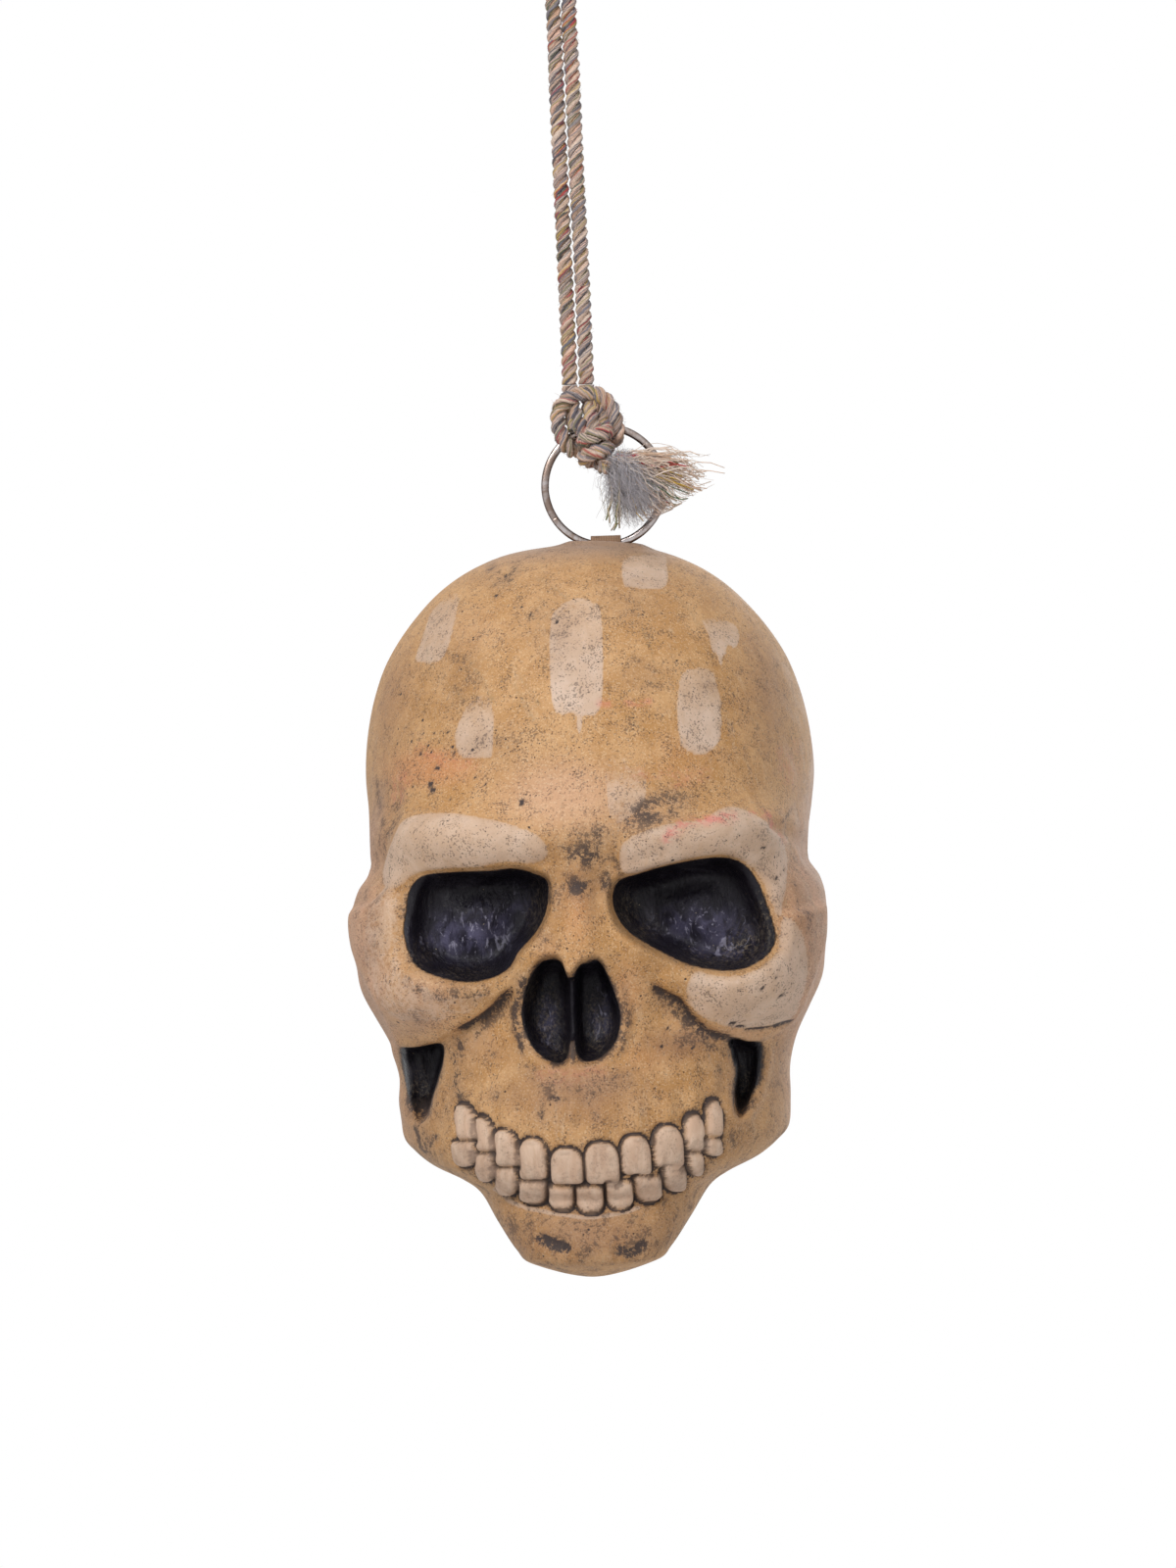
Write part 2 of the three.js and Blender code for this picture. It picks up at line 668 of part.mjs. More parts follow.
// Routes of the rope, chosen by hand, from the middle of the wire under the hitch
const left_standing_route = [[-4.5, 0, 13.5], [-4.5, 0.1, 11.5], [-4.7, 1.5, 7.5]];
const right_standing_route = [[0.7, 1.7, 8.2], [0.5, 0.1, 11.5], [0.5, 0, 13.5]];
const hitch_route = [
  [-2.5, 4.1, 3.0], [-2.6, 4.4, 0.0], [-3.2, 3.4, -3.2], [-4.9, 0.2, -4.9], [-6.7, -3.3, -3.9],
  [-7.5, -4.6, -0.2], [-7.3, -4.6, 4.2], [-5.8, -4.8, 8.0], [-2.4, -4.8, 10.2], [2.4, -4.8, 10.4],
  [6.6, -4.5, 8.8], [9.0, -4.6, 5.0], [9.4, -4.6, 0.2], [8.4, -3.5, -4.6], [6.0, 0.2, -5.6],
  [3.6, 3.5, -3.5], [2.6, 4.5, 0.0], [2.5, 4.1, 3.0],
];
const loop_route = [
  [-4.5, 0, 13.8], [-4.5, 0, 20], [-4.8, 0, 45], [-5.3, 0, 75], [-5.7, 0, 105], [-6.0, 0, 128],
  [-7.0, 0, 136], [-10.6, 0, 144], [-12.8, 0, 152], [-12.2, 0, 159], [-8.6, 0, 164], [-3.8, 0, 165.6],
  [1.0, 0, 164], [4.6, 0, 159], [5.2, 0, 152], [3.0, 0, 144], [-0.4, 0, 136], [-1.2, 0, 128],
  [-0.8, 0, 105], [-0.4, 0, 75], [0.2, 0, 45], [0.5, 0, 20], [0.5, 0, 13.8],
];
const tail_route = [
  [9.7, -9.85, -10.4], [13.6, -10.8, -13.2], [17.6, -11.6, -15.8], [22.0, -12.2, -18.0], [26.5, -12.6, -19.8],
];
const tail_half_sizes = [[2.0, 2.0], [4.4, 3.4], [6.4, 4.4], [6.6, 4.6], [4.6, 3.4]];
const stopper_centre = [2.95, -8.55, -6.4];
const stopper_radius = 3.5;
const stopper_turns = 2.35;
const hook_point = [-3.8, 0, 165.6 - rope_radius];

// Prints the least gap of a wound rope to itself, measured on points along its route
function printLeastGap(name, line) {
  const count = 400;
  const points = line.getSpacedPoints(count);
  const apart = Math.ceil(rope_diameter * 2.2 / (line.getLength() / count));
  let least = Infinity;
  for (let i = 0; i < points.length; i += 1) {
    for (let j = i + apart; j < points.length; j += 1) {
      least = Math.min(least, points[i].distanceTo(points[j]) - rope_diameter);
    }
  }
  console.log(`${name}: least gap to itself ${least.toFixed(2)} mm`);
}

function ringHitch() {
  const turned = hitch_route.map(([x, y, z]) => (
    new THREE.Vector3(x, y, z).applyAxisAngle(new THREE.Vector3(0, 1, 0), -hitch_turn).toArray()
  ));
  const points = [...left_standing_route, ...turned, ...right_standing_route];
  printLeastGap('ring_hitch', ropeLine(points));
  return ropeTube(ropeLine(points), 46, 8);
}

function stopperKnot() {
  const points = [];
  const steps = 30;
  const rise = rope_diameter + stopper_gap;
  for (let step = 0; step <= steps; step += 1) {
    const turns = (step / steps - 0.5) * stopper_turns;
    const turn = turns * Math.PI * 2;
    points.push([
      stopper_centre[0] + stopper_radius * Math.cos(turn),
      stopper_centre[1] + stopper_radius * Math.sin(turn),
      stopper_centre[2] + turns * rise,
    ]);
  }
  printLeastGap('stopper_knot', ropeLine(points));
  return ropeTube(ropeLine(points), 44, 8);
}

function frayedTail() {
  const sideCount = 10;
  const line = ropeLine(tail_route);
  const rings = tail_half_sizes.map(([rise, reach], index) => {
    const along = index / (tail_half_sizes.length - 1);
    const centre = line.getPoint(along);
    const ahead = line.getTangent(along);
    const across = new THREE.Vector3(0, 1, 0).cross(ahead).normalize();
    const points = [];
    for (let i = 0; i < sideCount; i += 1) {
      const turn = i / sideCount * Math.PI * 2;
      const point = centre.clone().addScaledVector(across, rise * Math.cos(turn));
      point.y += reach * Math.sin(turn);
      points.push(point);
    }
    return points;
  });
  return ringSolid(rings, line.getPoint(0), line.getPoint(1));
}

// Paint colours, roughness and metalness as the photograph shows them
const latex = new THREE.MeshStandardMaterial({ color: 0xb9935f, roughness: 0.7, metalness: 0 });
const foam = new THREE.MeshStandardMaterial({ color: 0xe6dcc0, roughness: 0.95, metalness: 0 });
const rubber = new THREE.MeshStandardMaterial({ color: 0x8e7350, roughness: 0.8, metalness: 0 });
const strap = new THREE.MeshStandardMaterial({ color: 0xa98a63, roughness: 0.85, metalness: 0 });
const plate = new THREE.MeshStandardMaterial({ color: 0xb4b6b8, roughness: 0.4, metalness: 1 });
const steel = new THREE.MeshStandardMaterial({ color: 0x9c948a, roughness: 0.25, metalness: 1 });
const hemp = new THREE.MeshStandardMaterial({ color: 0xa4937d, roughness: 0.95, metalness: 0 });

function named(name, geometry, material) {
  const mesh = new THREE.Mesh(geometry, material);
  mesh.name = name;
  return mesh;
}

// The skull hangs by its strap, with the middle of its face to the left of the ring
const skull = new THREE.Group();
skull.add(
  named('skull_skin', skullSkin(), latex),
  named('foam_core', foamCore(), foam),
  named('pour_plug', pourPlug(), rubber),
  named('hanger_strap', hangerStrap(), strap),
  named('anchor_washer', anchorWasher(), plate),
);

// The ring stands in the strap, and the rope is hitched to its upper left
const ring = named('split_ring', splitRing(), steel);
ring.position.set(hanger_offset, hanger_setback, ring_level);
const rope = new THREE.Group();
rope.position.set(hanger_offset - hitch_offset, hanger_setback, ring_level + hitch_rise);
rope.add(
  named('rope_loop', ropeTube(ropeLine(loop_route), 64, 8), hemp),
  named('ring_hitch', ringHitch(), hemp),
  named('stopper_knot', stopperKnot(), hemp),
  named('frayed_tail', frayedTail(), hemp),
);

const decoration = new THREE.Group();
decoration.position.set(...hook_point).add(rope.position).negate();
decoration.add(skull, ring, rope);

export default decoration;
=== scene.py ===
import math

import bpy
import numpy as np
from mathutils import Matrix, Vector


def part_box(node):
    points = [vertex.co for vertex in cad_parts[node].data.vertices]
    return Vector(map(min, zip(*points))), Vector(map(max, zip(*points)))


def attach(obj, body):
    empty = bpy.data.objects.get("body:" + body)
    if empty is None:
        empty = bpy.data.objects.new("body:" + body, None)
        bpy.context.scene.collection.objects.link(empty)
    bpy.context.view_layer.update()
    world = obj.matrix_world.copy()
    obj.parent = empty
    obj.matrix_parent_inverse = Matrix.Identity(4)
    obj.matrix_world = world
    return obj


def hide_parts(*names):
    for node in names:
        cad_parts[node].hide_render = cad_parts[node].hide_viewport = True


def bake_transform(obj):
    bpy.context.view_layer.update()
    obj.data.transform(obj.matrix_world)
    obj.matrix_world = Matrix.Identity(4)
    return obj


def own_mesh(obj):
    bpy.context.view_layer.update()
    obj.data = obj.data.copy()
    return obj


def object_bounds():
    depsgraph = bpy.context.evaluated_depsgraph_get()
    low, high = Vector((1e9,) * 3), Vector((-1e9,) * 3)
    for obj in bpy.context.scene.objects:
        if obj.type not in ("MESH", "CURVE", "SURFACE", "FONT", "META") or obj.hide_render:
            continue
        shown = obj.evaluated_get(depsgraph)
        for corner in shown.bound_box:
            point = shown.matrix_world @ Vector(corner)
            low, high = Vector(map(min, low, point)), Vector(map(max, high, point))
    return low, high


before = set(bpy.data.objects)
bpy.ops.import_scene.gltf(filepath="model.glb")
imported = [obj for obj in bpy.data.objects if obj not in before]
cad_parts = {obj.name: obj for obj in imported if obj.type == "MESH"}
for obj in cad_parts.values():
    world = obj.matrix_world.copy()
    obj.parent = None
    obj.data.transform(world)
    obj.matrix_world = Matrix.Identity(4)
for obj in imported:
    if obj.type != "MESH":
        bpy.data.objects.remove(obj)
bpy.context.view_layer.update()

MM = 0.001
rng = np.random.default_rng(11)

# Sizes of the head and of its hanger, in millimetres, as the frame has them
SKULL_HEIGHT = 215.5
HALF_WIDTH = 71.2
SKULL_DEPTH = 176.0
SKIN_WALL = 3.0
NECK_RADIUS = 30.0
NECK_LEVEL = 38.0
NECK_HEIGHT = 20.0
NECK_SETBACK = 16.0
POUR_RADIUS = 19.0
HANGER_OFFSET = 7.9
HANGER_SETBACK = -5.0
RING_LEVEL = 232.6
RING_RADIUS = 17.85
RING_WIRE_WIDTH = 2.3
RING_WIRE_THICKNESS = 1.1
RING_HALF_PITCH = 0.675
RING_CROSSING = math.radians(30)
RING_START = math.radians(196)
ROPE_RADIUS = 2.15
ROPE_LAY = 9.5
ROPE_STEP = 0.45
KNOT_STEP = 0.3
HITCH_OFFSET = 4.9
MOUTH_LEVEL = 31.0
FRONT_LIMIT = -91.2

# Where the head's own millimetre frame and the rope's lie in the row frame
ring_low, ring_high = [np.array(corner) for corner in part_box("split_ring")]
ring_centre = (ring_low + ring_high) / 2 / MM
skull_origin = ring_centre - np.array([HANGER_OFFSET, HANGER_SETBACK, RING_LEVEL])
hitch_turn = math.asin(HITCH_OFFSET / RING_RADIUS)
rope_origin = ring_centre + np.array([-HITCH_OFFSET, 0, RING_RADIUS * math.cos(hitch_turn)])

# The photograph's view: distance and turn to the head, and the scale at the head's middle
VIEW_DISTANCE = 1600.0
VIEW_YAW = math.radians(2.2)
VIEW_ROLL = math.radians(1.8)
VIEW_LEVEL = 142.9
PHOTO_WIDTH = 1200
PHOTO_MIDDLE = (600, 800)
PX_PER_MM = 3.37
# How far round an outline distances are worked out, in pixels
MARGIN_PX = 40

# Depths of the face's hollows and of the collar round the strap, in millimetres
SOCKET_DEPTH = 17.0
NOSTRIL_DEPTH = 12.0
RECESS_DEPTH = 10.0
COLLAR_HEIGHT = 1.4
# How far a tooth's sides slope, with the left ones sloping more
TOOTH_LEAN = 0.05
LEFT_LEAN = 0.15
# How far out a hollow still shapes the face, as a share of its outline, and the share of all
# places beyond the margin
HOLLOW_REACH = 1.3
FAR_SHARE = 9.0
# The pixel rows over which the paint in the cheek recesses fades
RECESS_FADE_PX = (1090, 1142)

# Rings, points in each ring, and how closely the points crowd to the front
SKIN_GRID = (300, 330, 0.62)
FOAM_GRID = (90, 110, 0.46)
# How far the painted skin lies inside the smooth head, and the foam inside the skin's wall
PAINT_INSET = 0.12
FOAM_GAP = 1.6

# The surround's light on the object, how far below the object the paper lies in metres, and
# how much of the paper's own white the camera sees
SOFT_LIGHT = 0.26
FLOOR_DROP = 0.45
FLOOR_GLOW = 0.88
# Each lamp's name, its place from the head's middle in metres, its size and its watts
LAMPS = [
    ("key", (-0.50, -1.35, 0.85), 0.7, 19.0),
    ("fill", (1.3, -1.0, -0.1), 1.2, 4.0),
    ("top", (0.0, 0.2, 1.5), 1.0, 6.0),
    ("back", (0.7, 1.6, 0.3), 1.4, 7.0),
]


def photo_px(points):
    """The photograph's pixels of points in the head's frame."""
    x, y, z = points[..., 0], points[..., 1], points[..., 2]
    across = x * math.cos(VIEW_YAW) + y * math.sin(VIEW_YAW)
    depth = VIEW_DISTANCE - x * math.sin(VIEW_YAW) + y * math.cos(VIEW_YAW)
    scale = PX_PER_MM * VIEW_DISTANCE / depth
    right = across * scale
    down = (VIEW_LEVEL - z) * scale
    u = PHOTO_MIDDLE[0] + right * math.cos(VIEW_ROLL) + down * math.sin(VIEW_ROLL)
    v = PHOTO_MIDDLE[1] - right * math.sin(VIEW_ROLL) + down * math.cos(VIEW_ROLL)
    return u, v


def make_camera():
    """The camera that took the photograph."""
    data = bpy.data.cameras.new("photo_camera")
    camera = bpy.data.objects.new("photo_camera", data)
    bpy.context.collection.objects.link(camera)
    data.sensor_fit = "HORIZONTAL"
    data.sensor_width = 36
    data.lens = PX_PER_MM * VIEW_DISTANCE * data.sensor_width / PHOTO_WIDTH
    data.clip_end = 20
    centre = Vector(skull_origin * MM) + Vector((0, 0, VIEW_LEVEL * MM))
    back = Vector((math.sin(VIEW_YAW), -math.cos(VIEW_YAW), 0))
    up = Vector((0, 0, 1))
    right = (-back).cross(up)
    rolled_right = right * math.cos(VIEW_ROLL) - up * math.sin(VIEW_ROLL)
    rolled_up = up * math.cos(VIEW_ROLL) + right * math.sin(VIEW_ROLL)
    turn = Matrix((rolled_right, rolled_up, back)).transposed().to_4x4()
    camera.matrix_world = Matrix.Translation(centre + back * VIEW_DISTANCE * MM) @ turn
    bpy.context.scene.camera = camera


# Height, half width, front, back, widest place, and squareness of front and back, each a
# share of the head's own sizes
HEAD_SHARES = np.array([
    [0.000, 0.000, 0.114, 0.114, 0.114, 2.00, 2.0],
    [0.019, 0.250, 0.045, 0.199, 0.136, 2.20, 2.0],
    [0.038, 0.319, 0.028, 0.239, 0.153, 2.20, 2.0],
    [0.074, 0.400, 0.028, 0.284, 0.205, 2.15, 2.0],
    [0.110, 0.478, 0.030, 0.330, 0.273, 2.10, 2.0],
    [0.128, 0.560, 0.014, 0.375, 0.312, 2.05, 2.0],
    [0.146, 0.685, 0.005, 0.432, 0.352, 2.00, 2.0],
    [0.165, 0.764, 0.002, 0.489, 0.375, 1.95, 2.0],
    [0.184, 0.812, 0.002, 0.557, 0.398, 1.92, 2.1],
    [0.223, 0.822, 0.004, 0.653, 0.410, 1.90, 2.1],
    [0.265, 0.824, 0.014, 0.750, 0.420, 1.88, 2.1],
    [0.305, 0.854, 0.026, 0.807, 0.420, 1.90, 2.1],
    [0.346, 0.910, 0.034, 0.852, 0.420, 2.05, 2.1],
    [0.387, 0.966, 0.028, 0.898, 0.426, 2.30, 2.1],
    [0.420, 0.984, 0.012, 0.926, 0.432, 2.50, 2.1],
    [0.449, 0.990, 0.006, 0.949, 0.438, 2.65, 2.1],
    [0.490, 1.000, 0.032, 0.972, 0.443, 2.80, 2.1],
    [0.524, 0.975, 0.044, 0.985, 0.480, 2.95, 2.1],
    [0.550, 0.930, 0.030, 0.994, 0.528, 3.00, 2.1],
    [0.591, 0.933, 0.014, 1.000, 0.580, 2.85, 2.1],
    [0.632, 0.952, 0.026, 1.000, 0.612, 2.55, 2.1],
    [0.674, 0.965, 0.043, 0.994, 0.625, 2.38, 2.1],
    [0.716, 0.958, 0.062, 0.981, 0.622, 2.28, 2.1],
    [0.758, 0.938, 0.084, 0.963, 0.614, 2.22, 2.1],
    [0.798, 0.906, 0.108, 0.940, 0.597, 2.18, 2.1],
    [0.840, 0.855, 0.136, 0.909, 0.580, 2.15, 2.1],
    [0.882, 0.774, 0.176, 0.869, 0.562, 2.12, 2.1],
    [0.923, 0.666, 0.222, 0.818, 0.545, 2.10, 2.1],
    [0.950, 0.570, 0.266, 0.772, 0.534, 2.05, 2.0],
    [0.972, 0.457, 0.318, 0.718, 0.528, 2.00, 2.0],
    [0.989, 0.320, 0.380, 0.655, 0.523, 2.00, 2.0],
    [0.998, 0.150, 0.450, 0.582, 0.520, 2.00, 2.0],
    [1.000, 0.000, 0.520, 0.520, 0.520, 2.00, 2.0],
])
# Swells and dips of the face: place across and up, reach across and up, and height, as shares
SWELL_SHARES = [
    (0.50, 0.600, 0.32, 0.034, 0.062),
    (-0.50, 0.602, 0.32, 0.034, 0.062),
    (0.68, 0.385, 0.19, 0.040, 0.105),
    (-0.68, 0.385, 0.19, 0.040, 0.105),
    (0.36, 0.360, 0.13, 0.052, -0.060),
    (-0.40, 0.360, 0.13, 0.052, -0.060),
    (0.68, 0.285, 0.12, 0.055, -0.040),
    (-0.68, 0.285, 0.12, 0.055, -0.040),
    (-0.02, 0.490, 0.11, 0.075, 0.072),
    (-0.02, 0.620, 0.20, 0.035, 0.012),
    (0.86, 0.470, 0.08, 0.070, 0.020),
    (-0.86, 0.470, 0.08, 0.070, 0.020),
    (0.00, 0.045, 0.24, 0.036, 0.020),
    (0.00, 0.107, 0.36, 0.020, -0.022),
    (0.92, 0.640, 0.14, 0.070, -0.020),
    (-0.92, 0.640, 0.14, 0.070, -0.020),
]

# Outlines read off the photograph, in its pixels
LEFT_SOCKET_PX = [
    (415, 932), (419, 909), (432, 895), (463, 891), (498, 890), (524, 888), (544, 893), (557, 902),
    (555, 930), (544, 952), (527, 971), (517, 988), (498, 998), (473, 1001), (448, 996), (427, 986),
    (417, 968), (413, 950),
]
RIGHT_SOCKET_PX = [
    (626, 913), (632, 900), (650, 893), (677, 885), (707, 879), (732, 876), (751, 879), (766, 891),
    (777, 912), (785, 935), (790, 955), (785, 970), (772, 981), (755, 988), (731, 989), (702, 983),
    (677, 972), (655, 960), (639, 948), (628, 930),
]
LEFT_NOSTRIL_PX = [
    (568, 982), (552, 984), (541, 1000), (535, 1020), (534, 1042), (543, 1065), (555, 1078),
    (570, 1084), (578, 1077), (581, 1057), (580, 1017), (577, 995),
]
RIGHT_NOSTRIL_PX = [
    (589, 988), (599, 984), (610, 983), (619, 997), (627, 1017), (632, 1037), (628, 1060),
    (615, 1076), (600, 1082), (591, 1077), (587, 1057), (586, 1012),
]
LEFT_BROW_PX = [
    (391, 890), (394, 868), (406, 844), (424, 832), (458, 830), (493, 835), (523, 842), (548, 852),
    (559, 864), (557, 875), (543, 880), (518, 878), (488, 883), (458, 885), (429, 890), (410, 905),
    (395, 907),
]
RIGHT_BROW_PX = [
    (632, 872), (638, 857), (658, 848), (687, 840), (717, 837), (732, 827), (750, 824), (772, 833),
    (790, 845), (799, 860), (803, 888), (799, 918), (793, 937), (785, 920), (776, 899), (762, 882),
    (737, 871), (707, 874), (677, 882), (650, 890), (635, 888),
]
RIGHT_CHEEK_PAINT_PX = [
    (795, 937), (793, 957), (790, 973), (768, 990), (737, 995), (708, 990), (701, 1005), (707, 1022),
    (722, 1036), (747, 1043), (777, 1041), (801, 1035), (812, 1012), (816, 987), (814, 962), (806, 943),
]
LEFT_CHEEK_PAINT_PX = [
    (385, 910), (410, 909), (410, 937), (413, 977), (429, 1000), (463, 1010), (498, 1007), (478, 1030),
    (438, 1037), (401, 1030), (381, 987), (379, 947),
]
# Dry-brushed white strokes: strength and outline
STROKES_PX = [
    (0.75, [(441, 621), (468, 603), (463, 638), (451, 672), (429, 676), (424, 669), (432, 646)]),
    (1.0, [(570, 619), (588, 609), (605, 613), (614, 628), (614, 716), (598, 730), (585, 728),
           (564, 720), (561, 638)]),
    (0.8, [(588, 726), (595, 726), (593, 745), (590, 748)]),
    (0.9, [(638, 568), (677, 566), (681, 576), (678, 599), (643, 599), (636, 594)]),
    (0.9, [(715, 633), (722, 630), (737, 631), (752, 638), (755, 651), (750, 661), (743, 658),
           (741, 668), (738, 669), (736, 683), (733, 669), (727, 664), (725, 656), (722, 645)]),
    (1.0, [(695, 688), (712, 680), (727, 683), (733, 698), (736, 723), (735, 753), (722, 768),
           (707, 768), (695, 758), (691, 728)]),
    (0.75, [(481, 713), (501, 711), (504, 738), (502, 770), (496, 774), (473, 773), (464, 758),
            (467, 738)]),
    (0.4, [(615, 765), (643, 763), (659, 783), (659, 815), (638, 838), (622, 833), (617, 798)]),
]
LEFT_CHEEKBONE_PX = [
    (358, 932), (379, 922), (406, 908), (411, 977), (448, 1005), (498, 1005), (517, 1000), (521, 1011),
    (494, 1037), (468, 1052), (448, 1064), (424, 1069), (406, 1063), (392, 1037), (374, 1002), (360, 967),
]
RIGHT_CHEEKBONE_PX = [
    (670, 1009), (680, 990), (702, 990), (732, 996), (762, 991), (790, 973), (797, 932), (817, 927),
    (842, 922), (841, 962), (828, 1002), (817, 1030), (801, 1048), (777, 1060), (750, 1063), (725, 1057),
    (706, 1040), (691, 1021),
]
LEFT_RECESS_PX = [
    (413, 1070), (430, 1067), (446, 1068), (449, 1080), (445, 1100), (440, 1118), (434, 1138),
    (425, 1141), (417, 1120), (413, 1092),
]
RIGHT_RECESS_PX = [
    (749, 1063), (772, 1065), (775, 1078), (772, 1102), (763, 1127), (754, 1135), (750, 1118),
    (753, 1092), (749, 1076),
]

# Depth of a bowl against how far out from its middle, as shares, with a low crown on the
# floor of the eye sockets
BOWL_PROFILE = [
    (0.0, 0.80), (0.25, 0.83), (0.50, 0.93), (0.70, 0.93), (0.86, 0.72), (0.96, 0.38), (1.04, 0.0),
    (1.30, -1.3),
]
SLOT_PROFILE = [(0.0, 1.0), (0.40, 0.98), (0.70, 0.88), (0.90, 0.56), (1.02, 0.0), (1.30, -1.4)]

# Each hollow's outline and profile, its depth, how dark the wash round its rim is, partly dark
# paint and partly painted shade, and whether its black paint fades
HOLLOWS = [
    (LEFT_SOCKET_PX, BOWL_PROFILE, SOCKET_DEPTH, 0.35, False),
    (RIGHT_SOCKET_PX, BOWL_PROFILE, SOCKET_DEPTH, 0.35, False),
    (LEFT_NOSTRIL_PX, SLOT_PROFILE, NOSTRIL_DEPTH, 0.8, False),
    (RIGHT_NOSTRIL_PX, SLOT_PROFILE, NOSTRIL_DEPTH, 0.8, False),
    (LEFT_RECESS_PX, SLOT_PROFILE, RECESS_DEPTH, 0.8, True),
    (RIGHT_RECESS_PX, SLOT_PROFILE, RECESS_DEPTH, 0.8, True),
]
# Raised areas, with their height and the width of their edge in millimetres
BONES = [
    (LEFT_BROW_PX, 1.6, 3.6), (RIGHT_BROW_PX, 1.6, 3.6),
    (LEFT_CHEEKBONE_PX, 2.7, 2.6), (RIGHT_CHEEKBONE_PX, 2.7, 2.6),
]
# Areas painted white, and how strongly
WHITE_AREAS = [
    (LEFT_BROW_PX, 0.75), (RIGHT_BROW_PX, 0.8), (RIGHT_CHEEK_PAINT_PX, 0.8), (LEFT_CHEEK_PAINT_PX, 0.35),
]

# Lines read off the photograph: width, depth and darkness, then the line's pixels; the darkness
# is a dark wash, partly painted shade in the crease
GROOVES_PX = [
    (6.0, 1.8, 0.86, [(518, 1013), (506, 1025), (491, 1037), (473, 1048)]),
    (6.5, 1.8, 0.86, [(672, 1010), (692, 1020), (705, 1037), (722, 1052), (747, 1060)]),
    (7.0, 1.2, 0.25, [(405, 808), (400, 838), (393, 863), (385, 883)]),
    (7.0, 1.4, 0.35, [(790, 843), (807, 850), (819, 860), (825, 872)]),
    (1.5, 0.5, 0.95, [(789, 899), (793, 894), (798, 889)]),
    (2.4, 0.6, 1.0, [(742, 1038), (756, 1043), (776, 1043), (803, 1036)]),
    (8.0, 1.0, 0.95, [(551, 1264), (562, 1269), (576, 1274)]),
    (7.5, 0.8, 0.80, [(631, 1276), (644, 1279), (657, 1271)]),
]
# Raised lines: width and height
RIDGES_PX = [
    (20.0, 1.0, [(592, 885), (592, 930), (588, 975)]),
    (11.0, 1.8, [(584, 968), (583, 984)]),
    (12.0, 1.0, [(583, 1090), (584, 1140)]),
]
# The strip between the nostrils, and the white line under the lower teeth
SEPTUM_PX = [(584, 1006), (585, 1032), (585, 1054)]
GUM_LINE_PX = [(505, 1214), (520, 1226), (540, 1233), (572, 1239), (601, 1242), (632, 1238), (652, 1232)]
# Dark smudges, partly painted shade under the cheekbones, at the temples and beside the nose:
# width and darkness
SMUDGE_AND_SHADE_PX = [
    (12.0, 0.6, [(584, 1000), (585, 1040), (585, 1080)]),
    (13.0, 0.6, [(534, 1000), (526, 1035), (534, 1072)]),
    (11.0, 0.5, [(636, 1010), (640, 1040), (634, 1072)]),
    (16.0, 0.55, [(472, 1062), (464, 1088), (470, 1118)]),
    (14.0, 0.5, [(384, 800), (388, 850), (380, 882)]),
    (12.0, 0.5, [(420, 1000), (445, 1012), (500, 1008)]),
    (10.0, 0.5, [(418, 905), (412, 940), (420, 980)]),
    (13.0, 0.5, [(700, 1040), (722, 1066), (742, 1076)]),
    (14.0, 0.5, [(520, 1018), (500, 1040), (486, 1058)]),
    (15.0, 0.55, [(676, 1018), (700, 1044), (722, 1060)]),
    (22.0, 0.36, [(536, 1092), (560, 1108), (600, 1112), (640, 1100)]),
    (15.0, 0.5, [(424, 1132), (430, 1158), (436, 1176)]),
    (13.0, 0.45, [(752, 1126), (752, 1150), (748, 1168)]),
    (7.0, 0.6, [(822, 872), (826, 884), (832, 892)]),
    (7.0, 0.45, [(770, 880), (778, 894), (786, 900)]),
    (6.0, 0.5, [(811, 900), (816, 922), (818, 946)]),
    (4.0, 0.7, [(800, 838), (810, 822), (820, 808)]),
    (16.0, 0.3, [(395, 905), (388, 940), (386, 975)]),
    (20.0, 0.55, [(640, 838), (662, 820), (690, 828)]),
    (9.0, 0.5, [(626, 875), (632, 890), (628, 905)]),
    (12.0, 0.5, [(500, 578), (515, 590), (525, 580)]),
    (10.0, 0.35, [(648, 672), (668, 690), (655, 700)]),
    (8.0, 0.55, [(425, 1150), (432, 1175), (445, 1160)]),
    (12.0, 0.45, [(395, 800), (400, 830), (392, 850)]),
    (14.0, 0.4, [(545, 1270), (600, 1290), (660, 1280)]),
    (18.0, 0.35, [(450, 1120), (455, 1150), (470, 1100)]),
    (18.0, 0.35, [(735, 1090), (728, 1120), (740, 1140)]),
]
# Dark pits: middle and size
SPOTS_PX = [
    (413, 743, 2.4), (419, 748, 2.0), (430, 748, 1.8), (443, 749, 2.4), (457, 748, 2.0), (458, 728, 1.8),
    (428, 768, 2.8), (449, 771, 2.0), (463, 767, 2.0), (475, 766, 2.2), (423, 781, 2.0), (446, 784, 2.8),
    (417, 788, 1.8), (455, 795, 2.2), (485, 794, 2.4), (494, 799, 2.0), (438, 799, 4.4), (441, 806, 4.4),
    (460, 816, 2.4), (532, 818, 4.2), (420, 803, 2.4), (408, 709, 2.0), (506, 608, 2.4), (532, 618, 2.0),
    (541, 628, 2.0), (557, 657, 2.2), (568, 634, 2.0), (637, 690, 2.4), (689, 792, 2.6), (713, 811, 3.0),
    (722, 793, 2.2), (748, 737, 2.2), (515, 587, 3.0), (775, 864, 2.6), (682, 1048, 2.6), (676, 1068, 2.4),
    (707, 1068, 2.6), (775, 1004, 2.2), (787, 996, 2.4), (792, 1010, 2.4),
]
